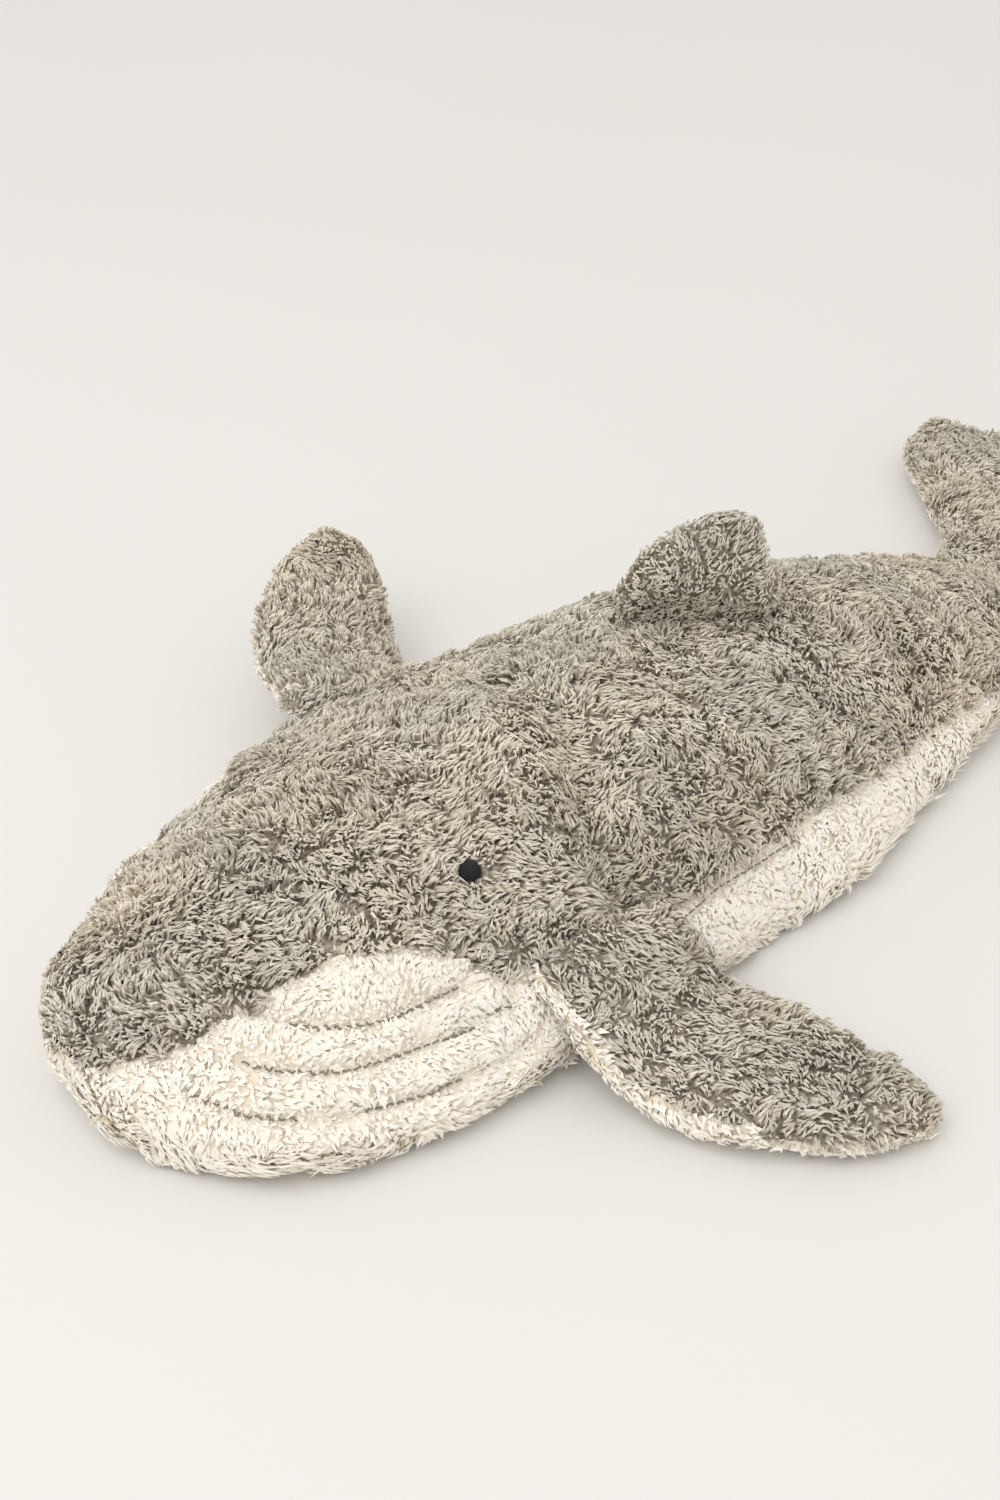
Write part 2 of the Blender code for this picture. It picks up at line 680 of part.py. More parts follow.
def clear_of_body(piece, name, angles):
    """Cuts a fin's piece so that it clears the body at each angle, all but its root."""
    for angle in angles:
        turn = about_root(name, angle)
        piece.data.transform(turn)
        room = body_form("room", -2 * SEAM_GAP)
        combine(room, root_bar(name, SEAM_GAP / 2), "DIFFERENCE")
        combine(piece, room, "DIFFERENCE")
        piece.data.transform(turn.inverted())


for thing in list(bpy.data.objects):
    bpy.data.objects.remove(thing)

grey_plush = material("grey_plush", GREY, 0.9)
cream_plush = material("cream_plush", CREAM, 0.9)
black_thread = material("black_thread", BLACK, 0.55)
fibre_fill = material("fibre_fill", FIBRE, 0.95)
linen = material("linen", LINEN, 0.85)
fastening_tape = material("fastening_tape", TAPE, 0.8)

# The lines of the fins' sewn roots
roots = {}
for name, side in (("left_fin", -1), ("right_fin", 1)):
    ends = [FIN_PLACE[side] + s * (FIN_HALF_CHORD[side] + SEAM_GAP) - ORIGIN_PLACE for s in (-1, 1)]
    roots[name] = [(x, side * FIN_BREADTH[side], FIN_AXIS_HEIGHT) for x in ends]
ends = [back_root_place(s * (BACK_FIN_HALF_CHORD + SEAM_GAP), 0) for s in (-1, 1)]
roots["back_fin"] = [(x, y, back_root_height()) for x, y in ends]

# Cover: two back panels and one belly panel, cut from one hollow form along its seams
wide = max(LEFT_HALF_WIDTH, RIGHT_HALF_WIDTH) + CUT_OVERRUN
for name, low, high, above in (
    ("back_panel_left", -wide, -SEAM_GAP / 2, True),
    ("back_panel_right", SEAM_GAP / 2, wide, True),
    ("belly_panel", -wide, wide, False),
):
    panel = body_form(name, 0, look=grey_plush if above else cream_plush)
    combine(panel, body_form("hollow", CLOTH), "DIFFERENCE")
    combine(panel, seam_side("seam_side", above, low, high), "INTERSECT")
    for fin_name in ("left_fin", "right_fin"):
        combine(panel, root_bar(fin_name, SEAM_GAP), "DIFFERENCE")
    if above:
        combine(panel, root_bar("back_fin", SEAM_GAP), "DIFFERENCE")
        combine(panel, eye_seat(-1 if high < 0 else 1), "DIFFERENCE")
        continue
    middle = STRIP_CENTRE - ORIGIN_PLACE
    slit = box("slit", (middle - SLIT_LENGTH / 2, -SLIT_WIDTH / 2, -CUT_OVERRUN),
               (middle + SLIT_LENGTH / 2, SLIT_WIDTH / 2, CUT_OVERRUN))
    combine(panel, slit, "DIFFERENCE")
    for side in (-1, 1):
        for shares in TUCK_SHARES:
            combine(panel, tuck(side, shares), "DIFFERENCE")

# Inside the cover: stuffing at both ends, the grain pouch between, and the opening's two tapes
fit = CLOTH + INSIDE_GAP
inners = [
    body_form("head_stuffing", fit, end=POUCH_START - SEAM_GAP / 2, look=fibre_fill),
    body_form("tail_stuffing", fit, start=POUCH_END + SEAM_GAP / 2, look=fibre_fill),
]
strips_height = 2 * (STRIP_THICKNESS + SEAM_GAP)
inners.append(body_form("grain_pouch", fit, start=POUCH_START + SEAM_GAP / 2, end=POUCH_END - SEAM_GAP / 2,
                        lift=strips_height, look=linen))
for inner in inners:
    for fin_name in roots:
        combine(inner, root_bar(fin_name, SEAM_GAP), "DIFFERENCE")
for number, name in enumerate(("closure_hook_tape", "closure_loop_tape")):
    low = CLOTH + SEAM_GAP + number * (STRIP_THICKNESS + SEAM_GAP)
    tape = box(name, (STRIP_CENTRE - STRIP_LENGTH / 2 - ORIGIN_PLACE, -STRIP_WIDTH / 2, low),
               (STRIP_CENTRE + STRIP_LENGTH / 2 - ORIGIN_PLACE, STRIP_WIDTH / 2, low + STRIP_THICKNESS))
    tape.data.materials.append(fastening_tape)

eye("eye_left", -1, black_thread)
eye("eye_right", 1, black_thread)

# Fins: two cloth sides and the stuffing between them
left_fin = side_fin(-1, LEFT_FIN_SPAN, LEFT_FIN_SWEEP, LEFT_FIN_SWEEP_POWER)
right_fin = side_fin(1, RIGHT_FIN_SPAN, RIGHT_FIN_SWEEP, RIGHT_FIN_SWEEP_POWER)
fins = (
    ("left_fin", left_fin, FIN_STATION_SHARES, "top", "under", cream_plush),
    ("right_fin", right_fin, FIN_STATION_SHARES, "top", "under", cream_plush),
    ("back_fin", back_fin(), BACK_FIN_STATION_SHARES, "right", "left", grey_plush),
    ("tail_fin", tail_fin(), FLUKE_STATION_SHARES, "top", "under", cream_plush),
)
turns = {
    "left_fin": (0,),
    "right_fin": (0, RIGHT_FIN_RAISE),
    "back_fin": [BACK_FIN_SWING * i / SWING_STEPS for i in range(-SWING_STEPS, SWING_STEPS + 1)],
}
for name, fin, stations, upper, lower, lower_look in fins:
    pieces = [
        fin.panel(f"{name}_{upper}", 1, stations, grey_plush),
        fin.panel(f"{name}_{lower}", -1, stations, lower_look),
        fin.fill(f"{name}_stuffing", stations[1:-1], fibre_fill),
    ]
    for piece in pieces:
        clear_of_body(piece, name, turns.get(name, ()))
        if name == "right_fin":
            piece.data.transform(about_root(name, RIGHT_FIN_RAISE))
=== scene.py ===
import math

import bmesh
import bpy
import numpy as np
from mathutils import Matrix, Vector, kdtree
from mathutils.bvhtree import BVHTree


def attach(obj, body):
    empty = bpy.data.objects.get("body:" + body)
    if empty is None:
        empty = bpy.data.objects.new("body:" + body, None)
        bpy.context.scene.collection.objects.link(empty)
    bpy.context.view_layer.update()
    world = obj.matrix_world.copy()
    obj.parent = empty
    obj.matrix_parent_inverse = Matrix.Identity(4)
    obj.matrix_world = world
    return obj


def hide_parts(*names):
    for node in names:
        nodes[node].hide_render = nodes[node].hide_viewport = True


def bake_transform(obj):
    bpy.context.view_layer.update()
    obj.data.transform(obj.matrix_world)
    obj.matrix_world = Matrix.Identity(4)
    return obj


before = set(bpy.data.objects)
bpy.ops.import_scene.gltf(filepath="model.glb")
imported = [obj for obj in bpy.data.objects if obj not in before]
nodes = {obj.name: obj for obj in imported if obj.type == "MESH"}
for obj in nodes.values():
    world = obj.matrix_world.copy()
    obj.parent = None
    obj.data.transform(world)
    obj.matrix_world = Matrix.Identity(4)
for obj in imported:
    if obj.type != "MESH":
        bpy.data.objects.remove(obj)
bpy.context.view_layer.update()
snoutX = -0.26265  # where the body starts: an x here is a place along the body plus this
farAway = 9.0  # metres, further than anything here
print("stage: frame loaded,", len(nodes), "nodes")


# small helpers
def unit(v):
    return v / np.maximum(np.linalg.norm(v, axis=-1, keepdims=True), 1e-9)


def softNoise(points, size, seed):
    draw = np.random.default_rng(seed)
    waves = unit(draw.normal(size=(9, 3))) * (2 * math.pi / size) * draw.uniform(0.7, 1.4, (9, 1))
    return np.sin(points @ waves.T + draw.uniform(0, 2 * math.pi, 9)).sum(1) / 3


def dataOf(mesh):
    points = np.empty(len(mesh.vertices) * 3)
    mesh.vertices.foreach_get("co", points)
    return points.reshape(-1, 3)


def treeOf(name):
    mesh = nodes[name].data
    sides = [tuple(p.vertices) for p in mesh.polygons]
    return BVHTree.FromPolygons([v.co for v in mesh.vertices], sides)


def formTree(points, faces):
    return BVHTree.FromPolygons([Vector(p) for p in points], faces.tolist())


def nearTree(points):
    tree = kdtree.KDTree(len(points))
    for i, p in enumerate(points):
        tree.insert(Vector(p), i)
    tree.balance()
    return tree


def meshFrom(name, points, faces):
    mesh = bpy.data.meshes.new(name)
    mesh.from_pydata([tuple(p) for p in points], [], [tuple(f) for f in faces])
    mesh.update()
    return mesh


def shown(name, mesh):
    piece = bpy.data.objects.new(name, mesh)
    bpy.context.scene.collection.objects.link(piece)
    return piece


def evaluated(piece):
    graph = bpy.context.evaluated_depsgraph_get()
    return bpy.data.meshes.new_from_object(piece.evaluated_get(graph))


# materials
def ramp(tree, stops):
    node = tree.nodes.new("ShaderNodeValToRGB")
    while len(node.color_ramp.elements) < len(stops):
        node.color_ramp.elements.new(0.5)
    for element, (place, colour) in zip(node.color_ramp.elements, stops):
        element.position = place
        element.color = (*colour, 1)
    return node


def newLook(name, roughness, sheen=0.0, specular=0.3):
    look = bpy.data.materials.new(name)
    look.use_nodes = True
    shader = look.node_tree.nodes["Principled BSDF"]
    shader.inputs["Roughness"].default_value = roughness
    shader.inputs["Sheen Weight"].default_value = sheen
    shader.inputs["Sheen Roughness"].default_value = 0.4
    shader.inputs["Specular IOR Level"].default_value = specular
    return look, look.node_tree, shader


def noiseNode(tree, scale, detail=3.0, stretch=None):
    place = tree.nodes.new("ShaderNodeTexCoord")
    noise = tree.nodes.new("ShaderNodeTexNoise")
    noise.inputs["Scale"].default_value = scale
    noise.inputs["Detail"].default_value = detail
    out = place.outputs["Object"]
    if stretch:
        mapping = tree.nodes.new("ShaderNodeMapping")
        mapping.inputs["Scale"].default_value = stretch
        tree.links.new(out, mapping.inputs["Vector"])
        out = mapping.outputs["Vector"]
    tree.links.new(out, noise.inputs["Vector"])
    return noise


def addBump(tree, shader, height, strength, distance):
    bump = tree.nodes.new("ShaderNodeBump")
    bump.inputs["Strength"].default_value = strength
    bump.inputs["Distance"].default_value = distance
    tree.links.new(height, bump.inputs["Height"])
    tree.links.new(bump.outputs["Normal"], shader.inputs["Normal"])


def tinted(tree, base, amount, low, high):
    # multiplies a colour by a value that runs from low to high
    spread = tree.nodes.new("ShaderNodeMapRange")
    spread.inputs["To Min"].default_value = low
    spread.inputs["To Max"].default_value = high
    tree.links.new(amount, spread.inputs["Value"])
    mix = tree.nodes.new("ShaderNodeVectorMath")
    mix.operation = "SCALE"
    tree.links.new(base, mix.inputs[0])
    tree.links.new(spread.outputs["Result"], mix.inputs["Scale"])
    return mix.outputs["Vector"]


def pileLook(name, values):
    look, tree, shader = newLook(name, values["roughness"], values["sheen"], values["specular"])
    share = tree.nodes.new("ShaderNodeAttribute")
    share.attribute_name = "lockShare"
    tone = tree.nodes.new("ShaderNodeAttribute")
    tone.attribute_name = "lockTone"
    # the ramp along each lock paints shade at its root and light at its tip
    shades = ramp(tree, values["shades"])
    tree.links.new(share.outputs["Fac"], shades.inputs["Fac"])
    toned = tinted(tree, shades.outputs["Color"], tone.outputs["Fac"], *values["toneRange"])
    strands = noiseNode(tree, values["strandScale"], 4.0)
    fine = tinted(tree, toned, strands.outputs["Fac"], *values["strandRange"])
    # broad patches of painted light: cooler ones for the window's light, warmer ones for the room's
    paintedLightPatches = noiseNode(tree, values["paintedLightScale"], 2.0)
    paintedLightTints = ramp(tree, [(0.33, values["paintedWindowLight"]), (0.67, values["paintedRoomLight"])])
    tree.links.new(paintedLightPatches.outputs["Fac"], paintedLightTints.inputs["Fac"])
    withPaintedLight = tree.nodes.new("ShaderNodeVectorMath")
    withPaintedLight.operation = "MULTIPLY"
    tree.links.new(fine, withPaintedLight.inputs[0])
    tree.links.new(paintedLightTints.outputs["Color"], withPaintedLight.inputs[1])
    tree.links.new(withPaintedLight.outputs["Vector"], shader.inputs["Base Color"])
    addBump(tree, shader, strands.outputs["Fac"], *values["bump"])
    return look


clothFinish = {"sheen": 0.2, "specular": 0.2, "detail": 5.0, "bump": (0.4, 0.0003)}


def clothLook(name, light, dark, scale, roughness=0.9):
    look, tree, shader = newLook(name, roughness, clothFinish["sheen"], clothFinish["specular"])
    weave = noiseNode(tree, scale, clothFinish["detail"])
    shades = ramp(tree, [(0.3, dark), (0.7, light)])
    tree.links.new(weave.outputs["Fac"], shades.inputs["Fac"])
    tree.links.new(shades.outputs["Color"], shader.inputs["Base Color"])
    addBump(tree, shader, weave.outputs["Fac"], *clothFinish["bump"])
    return look


weaveFinish = {"roughness": 0.85, "sheen": 0.1, "specular": 0.25, "bump": (0.5, 0.0002)}
bandPeriod = 0.314  # how wide one band of a wave of scale 1 is


def wovenLook(name, light, dark, pitch):
    finish = (weaveFinish[key] for key in ("roughness", "sheen", "specular"))
    look, tree, shader = newLook(name, *finish)
    place = tree.nodes.new("ShaderNodeTexCoord")
    bands = []
    for axis in ("X", "Y"):
        wave = tree.nodes.new("ShaderNodeTexWave")
        wave.bands_direction = axis
        wave.inputs["Scale"].default_value = bandPeriod / pitch
        wave.inputs["Distortion"].default_value = 0.4
        tree.links.new(place.outputs["Object"], wave.inputs["Vector"])
        bands.append(wave.outputs["Fac"])
    both = tree.nodes.new("ShaderNodeMath")
    both.operation = "MULTIPLY"
    tree.links.new(bands[0], both.inputs[0])
    tree.links.new(bands[1], both.inputs[1])
    shades = ramp(tree, [(0.1, dark), (0.6, light)])
    tree.links.new(both.outputs["Value"], shades.inputs["Fac"])
    tree.links.new(shades.outputs["Color"], shader.inputs["Base Color"])
    addBump(tree, shader, both.outputs["Value"], *weaveFinish["bump"])
    return look


greyPile = {
    # the shades run from a lock's root to its tip: the dark roots are painted shade deep in the
    # pile, the light tips painted light
    "roughness": 0.5, "sheen": 0.12, "specular": 0.3, "strandScale": 900.0, "bump": (0.35, 0.0004),
    "shades": [
        (0.0, (0.34, 0.275, 0.20)), (0.30, (0.51, 0.448, 0.358)),
        (0.62, (0.71, 0.646, 0.545)), (1.0, (0.84, 0.785, 0.70)),
    ],
    "toneRange": (0.78, 1.14), "strandRange": (0.88, 1.10),
    # the cool and warm tints are painted light from the window and from the room
    "paintedLightScale": 17.0, "paintedWindowLight": (0.965, 0.99, 1.0), "paintedRoomLight": (1.0, 0.98, 0.935),
}
creamPile = {
    "roughness": 0.55, "sheen": 0.1, "specular": 0.25, "strandScale": 900.0, "bump": (0.35, 0.0004),
    # painted shade at the roots and painted light at the tips, as in the grey
    "shades": [
        (0.0, (0.95, 0.84, 0.68)), (0.30, (0.965, 0.89, 0.77)),
        (0.62, (0.98, 0.935, 0.855)), (1.0, (0.985, 0.95, 0.895)),
    ],
    "toneRange": (0.96, 1.015), "strandRange": (0.985, 1.01),
    # the cool and warm tints are painted light from the window and from the room
    "paintedLightScale": 17.0, "paintedWindowLight": (0.995, 1.0, 1.0), "paintedRoomLight": (1.0, 0.99, 0.97),
}
looks = {
    "greyPile": pileLook("greyPile", greyPile),
    "creamPile": pileLook("creamPile", creamPile),
}
# each cloth or thread: its light colour, its dark one, how fine it is and how rough
cloths = {
    # greyBacking: its dark streaks are painted shade of the gaps between locks and its light ones
    # painted light on lock tips, so bare cloth reads as pile
    "greyBacking": ((0.56, 0.51, 0.43), (0.13, 0.11, 0.085), 620),
    "creamBacking": ((0.97, 0.925, 0.84), (0.80, 0.71, 0.58), 620),
    "fibreFill": ((0.86, 0.85, 0.82), (0.66, 0.64, 0.60), 420),
    "blackThread": ((0.018, 0.02, 0.021), (0.006, 0.007, 0.008), 2600, 0.5),
    "oliveThread": ((0.30, 0.27, 0.20), (0.19, 0.17, 0.12), 2600, 0.7),
}
# each weave: its light colour, its dark one and how far apart its threads are
weaves = {
    "linenWeave": ((0.66, 0.57, 0.44), (0.42, 0.34, 0.24), 0.0011),
    "tapeWeave": ((0.84, 0.81, 0.74), (0.60, 0.57, 0.50), 0.0007),
}
for name, values in cloths.items():
    looks[name] = clothLook(name, *values)
for name, values in weaves.items():
    looks[name] = wovenLook(name, *values)
print("stage: materials made")


# forms: smooth bodies grown from the CAD solids
def largestPart(points, faces):
    label = np.arange(len(points))
    edges = np.concatenate([faces[:, [0, 1]], faces[:, [1, 2]], faces[:, [2, 3]], faces[:, [3, 0]]])
    while True:
        low = np.minimum(label[edges[:, 0]], label[edges[:, 1]])
        new = label.copy()
        np.minimum.at(new, edges[:, 0], low)
        np.minimum.at(new, edges[:, 1], low)
        new = new[new]
        if (new == label).all():
            break
        label = new
    best = np.bincount(label).argmax()
    keep = label == best
    order = np.cumsum(keep) - 1
    return points[keep], order[faces[keep[faces[:, 0]]]]


def formOf(names, voxel, smoothing, shrink):
    joined = bmesh.new()
    for name in names:
        joined.from_mesh(nodes[name].data)
    mesh = bpy.data.meshes.new("form")
    joined.to_mesh(mesh)
    joined.free()
    piece = shown("form", mesh)
    remesh = piece.modifiers.new("remesh", "REMESH")
    remesh.mode = "VOXEL"
    remesh.voxel_size = voxel
    smooth = piece.modifiers.new("smooth", "SMOOTH")
    smooth.iterations = smoothing
    smooth.factor = 0.5
    result = evaluated(piece)
    quads = np.array([tuple(p.vertices) for p in result.polygons])
    points, quads = largestPart(dataOf(result), quads)
    bpy.data.objects.remove(piece)
    return points - pointNormals(points, quads) * shrink, quads


def pointNormals(points, faces):
    a, b = points[faces[:, 2]] - points[faces[:, 0]], points[faces[:, 3]] - points[faces[:, 1]]
    flat = np.cross(a, b)
    total = np.zeros_like(points)
    for corner in range(4):
        np.add.at(total, faces[:, corner], flat)
    return unit(total)


def outermost(points, normals, trees, reach=0.012):
    # which of these solids is met first on the way in from outside
    out = np.zeros(len(points), int)
    for i, (p, n) in enumerate(zip(points, normals)):
        start, way = Vector(p + n * reach), Vector(-n)
        far = [tree.ray_cast(start, way, 2 * reach)[3] for tree in trees]
        if all(f is None for f in far):
            far = [tree.find_nearest(Vector(p))[3] for tree in trees]
        out[i] = min(range(len(far)), key=lambda k: farAway if far[k] is None else far[k])
    return out


def smoothKinds(kinds, faces, rounds):
    # each face takes the panel that most of the faces round it have
    count = kinds.max() + 1
    for _ in range(rounds):
        votes = np.zeros((faces.max() + 1, count))
        for corner in range(4):
            np.add.at(votes, (faces[:, corner], kinds), 1)
        kinds = votes[faces].sum(1).argmax(1)
    return kinds


def depthIn(points, tree):
    # how deep each point lies inside a closed form, below zero outside it
    out = np.empty(len(points))
    for i, p in enumerate(points):
        spot, normal, _, far = tree.find_nearest(Vector(p))
        out[i] = far if (Vector(p) - spot).dot(normal) < 0 and far < 0.02 else -far
    return out


def keptUnder(points, tree, depth):
    # moves whatever would come through a cover back under it
    out = points.copy()
    for i, p in enumerate(points):
        spot, normal, _, _ = tree.find_nearest(Vector(p))
        if (spot - Vector(p)).dot(normal) < depth:
            out[i] = np.array(spot - normal * depth)
    return out


def lineDistance(points, line):
    # distance to a line of points, and the line's nearest point
    starts, ends = line[:-1], line[1:]
    best = np.full(len(points), farAway)
    spot = np.zeros_like(points)
    for a, b in zip(starts, ends):
        share = np.clip(((points - a) @ (b - a)) / max((b - a) @ (b - a), 1e-12), 0, 1)
        on = a + share[:, None] * (b - a)
        far = np.linalg.norm(points - on, axis=1)
        near = far < best
        best[near], spot[near] = far[near], on[near]
    return best, spot


def smoothLine(points, step):
    points = np.array(points)
    far = np.concatenate([[0], np.cumsum(np.linalg.norm(np.diff(points, axis=0), axis=1))])
    count = max(2, int(far[-1] / step))
    at = np.linspace(0, far[-1], count)
    line = np.stack([np.interp(at, far, points[:, k]) for k in range(3)], 1)
    for _ in range(6):
        line[1:-1] = (line[:-2] + 2 * line[1:-1] + line[2:]) / 4
    return line


# pile: every lock is a closed, curved, tapering spike
ringShares = np.array([0.0, 0.56])
ringWidths = np.array([1.0, 0.92])
lockQuads = np.array([[0, 1, 4, 3], [1, 2, 5, 4], [2, 0, 3, 5]])
lockTips = np.array([[3, 4, 6], [4, 5, 6], [5, 3, 6], [2, 1, 0]])
lockPoints = 7


def lockCells():
    # each face's corners inside the lock's own square of the bake map
    low, middle, high = 0.16, 0.56, 0.97
    out = []
    for side in range(3):
        left, right = 0.04 + side * 0.31, 0.33 + side * 0.31
        out += [(left, low), (right, low), (right, middle), (left, middle)]
    for side in range(3):
        left, right = 0.04 + side * 0.31, 0.33 + side * 0.31
        out += [(left, middle + 0.02), (right, middle + 0.02), ((left + right) / 2, high)]
    out += [(0.05, 0.02), (0.9, 0.02), (0.5, 0.12)]
    return np.array(out)


cellPlaces = lockCells()


# how much the locks differ, and what pressing them flat does to them
lockSpread = {
    "height": (0.65, 1.3), "lean": (0.55, 1.35), "clump": (0.4, 1.3), "width": (0.7, 1.3),
    "turn": 0.7, "patch": 0.38, "longestPull": 0.005, "rooted": 0.0004,
    "flatLean": 1.4, "flatClump": 0.25, "flatWidth": 1.6,
    "table": (0.0003, 0.0008), "tableStep": 0.00013,
    "tone": 0.5, "broadTone": 0.20, "fineTone": 0.13, "ownTone": 0.18,
}


def growLocks(roots, normals, flow, values, draw):
    count = len(roots)
    spread, flat = lockSpread, values["flat"]
    patch = softNoise(roots, values["patchSize"], 41)
    height = values["height"] * (1 + spread["patch"] * patch)
    height = height * draw.uniform(*spread["height"], count) * values["tall"]
    lean = values["lean"] * draw.uniform(*spread["lean"], count) * values["tall"]
    lean = lean * np.where(flat, spread["flatLean"], 1.0)
    # pressed against the table, the pile lies flat instead of standing
    room = (roots[:, 2] - 0.0006) / np.maximum(-normals[:, 2], 0.05)
    height = np.where(normals[:, 2] < 0, np.minimum(height, np.maximum(room, 0.0002)), height)
    side = unit(np.cross(normals, flow))
    curl = values["curl"] * draw.normal(size=count)
    tips = roots + normals * height[:, None] + flow * lean[:, None]
    every = values["clumpEvery"]
    tree = nearTree(roots[::every])
    owner = np.array([tree.find(Vector(p))[1] for p in roots]) * every
    share = draw.uniform(*spread["clump"], count) * np.where(flat, spread["flatClump"], 1.0)
    pull = (tips[owner] - tips) * values["clump"] * share[:, None]
    longest = np.maximum(np.linalg.norm(pull, axis=1), 1e-6)
    pull *= np.clip(spread["longestPull"] / longest, 0, 1)[:, None]
    width = values["width"] * draw.uniform(*spread["width"], count)
    width = width * np.where(flat, spread["flatWidth"], 1.0)
    turn = draw.uniform(-spread["turn"], spread["turn"], count)

    def along(t):
        rise = math.sin(1.75 * t) / math.sin(1.35)
        return (
            roots + normals * (height * rise)[:, None] + flow * (lean * t**1.7)[:, None]
            + side * (curl * math.sin(math.pi * t * 0.9))[:, None] + pull * t**1.6
        )

    rings = []
    for share, wide in zip(ringShares, ringWidths):
        ahead = unit(along(share + 0.15) - along(max(share - 0.15, 0.0)))
        across = unit(np.cross(ahead, normals) + 1e-6)
        up = unit(np.cross(ahead, across))
        for corner in range(3):
            angle = turn + 2 * math.pi * corner / 3
            rings.append(
                along(share) + across * (np.cos(angle) * width * wide / 2)[:, None]
                + up * (np.sin(angle) * width * wide * values["thick"])[:, None]
            )
    rings.append(along(1.0))
    points = np.stack(rings, 1)
    points[:, :3] -= normals[:, None] * spread["rooted"]
    # no two corners lie at one height on the table
    table = draw.uniform(*spread["table"], count)[:, None]
    table = table + np.array([0, 1, 2, 2, 0, 1, 1]) * spread["tableStep"]
    points[..., 2] = np.maximum(points[..., 2], table)
    shares = np.concatenate([np.repeat(ringShares, 3), [1.0]])
    tone = spread["tone"] + spread["broadTone"] * softNoise(roots, 0.03, 43)
    tone = tone + spread["fineTone"] * softNoise(roots, 0.008, 44)
    tone = np.clip(tone + draw.normal(0, spread["ownTone"], count), 0, 1)
    return points, np.tile(shares, (count, 1)), np.repeat(tone[:, None], lockPoints, 1)


# the second locks: where they are looked for, and their size beside the first ones
second = {"over": 0.0009, "tallest": 0.7, "lean": 0.45, "tall": 0.85}


def coverLocks(roots, normals, flow, values, draw):
    # where all the locks lean away from a spot, more of them lean back over it
    first = growLocks(roots, normals, flow, values, draw)
    spots = np.concatenate([first[0][:, 3:6].mean(1), first[0][:, 6]])
    tree = nearTree(spots)
    over = roots + normals * second["over"]
    bare = np.array([tree.find(Vector(p))[2] for p in over]) > values["bareGap"]
    bare &= values["tall"] > second["tallest"]
    more = dict(
        values, lean=values["lean"] * second["lean"], clump=0.0,
        tall=values["tall"][bare] * second["tall"], flat=values["flat"][bare],
    )
    added = growLocks(roots[bare], normals[bare], -flow[bare], more, draw)
    print("stage: bare spots,", bare.sum())
    both = (np.concatenate(pair) for pair in zip(first, added))
    return (*both, np.concatenate([roots, roots[bare]]))


def dressed(name, skinPoints, skinNormals, skinFaces, locks, shares, tones, colour):
    # one mesh: the cloth first, then the locks standing in it
    cloth, count = len(skinPoints), len(locks)
    lockSides = [4] * len(lockQuads) + [3] * len(lockTips)
    points = np.concatenate([skinPoints, locks.reshape(-1, 3)])
    starts = cloth + lockPoints * np.arange(count)
    quads = (starts[:, None, None] + lockQuads).reshape(count, -1)
    tips = (starts[:, None, None] + lockTips).reshape(count, -1)
    corners = np.concatenate([skinFaces.ravel(), np.concatenate([quads, tips], 1).ravel()])
    sizes = np.concatenate([np.full(len(skinFaces), 4), np.tile(lockSides, count)])
    starting = np.concatenate([[0], np.cumsum(sizes)[:-1]])
    onCloth = np.repeat([True, False], [len(skinFaces), len(lockSides) * count])
    mesh = bpy.data.meshes.new(name)
    mesh.vertices.add(len(points))
    mesh.vertices.foreach_set("co", points.astype(np.float32).ravel())
    mesh.loops.add(len(corners))
    mesh.loops.foreach_set("vertex_index", corners.astype(np.int32))
    mesh.polygons.add(len(sizes))
    mesh.polygons.foreach_set("loop_start", starting.astype(np.int32))
    mesh.materials.append(looks[colour + "Backing"])
    mesh.materials.append(looks[colour + "Pile"])
    mesh.polygons.foreach_set("material_index", (~onCloth).astype(np.int32))
    mesh.polygons.foreach_set("use_smooth", onCloth)
    mesh.update(calc_edges=True)
    for label, value in (("lockShare", shares), ("lockTone", tones)):
        layer = mesh.attributes.new(label, "FLOAT", "POINT")
        value = np.concatenate([np.zeros(cloth), value.ravel()])
        layer.data.foreach_set("value", value.astype(np.float32))
    # the cloth is shaded as the whole form, so that no line shows where two pieces meet
    shaded = np.zeros((len(corners), 3))
    shaded[: skinFaces.size] = skinNormals[skinFaces.ravel()]
    mesh.normals_split_custom_set(shaded.tolist())
    # the bake map: a square to each cloth face and to each lock
    side = math.ceil(math.sqrt(len(skinFaces) + count))
    cell = np.arange(len(skinFaces) + count)
    corner = np.stack([cell % side, cell // side], 1) / side
    square = np.array([(0.06, 0.06), (0.94, 0.06), (0.94, 0.94), (0.06, 0.94)])
    clothMap = (corner[: len(skinFaces), None] + square / side).reshape(-1, 2)
    lockMap = (corner[len(skinFaces):, None] + cellPlaces / side).reshape(-1, 2)
    layer = mesh.uv_layers.new(name="OFBake")
    layer.data.foreach_set("uv", np.concatenate([clothMap, lockMap]).astype(np.float32).ravel())
    return shown(name, mesh)


seedsToCell = 2.5  # how many are thrown for each cell, of which one is kept


def sown(points, faces, cell, draw):
    # seeds spread evenly over the faces: about one to a cell
    tris = np.concatenate([faces[:, [0, 1, 2]], faces[:, [0, 2, 3]]])
    a, b, c = (points[tris[:, k]] for k in range(3))
    area = np.linalg.norm(np.cross(b - a, c - a), axis=1) / 2
    count = int(area.sum() / cell**2 * seedsToCell)
    picked = draw.choice(len(tris), count, p=area / area.sum())
    u, v = draw.random(count), draw.random(count)
    flip = u + v > 1
    u[flip], v[flip] = 1 - u[flip], 1 - v[flip]
    seeds = a[picked] + u[:, None] * (b - a)[picked] + v[:, None] * (c - a)[picked]
    normals = pointNormals(points, faces)
    na, nb, nc = (normals[tris[picked, k]] for k in range(3))
    turned = unit(na * (1 - u - v)[:, None] + nb * u[:, None] + nc * v[:, None])
    keys = np.floor(seeds / cell).astype(int)
    _, first = np.unique(keys, axis=0, return_index=True)
    first = draw.permutation(first)
    return seeds[first], turned[first], picked[first] % len(faces)


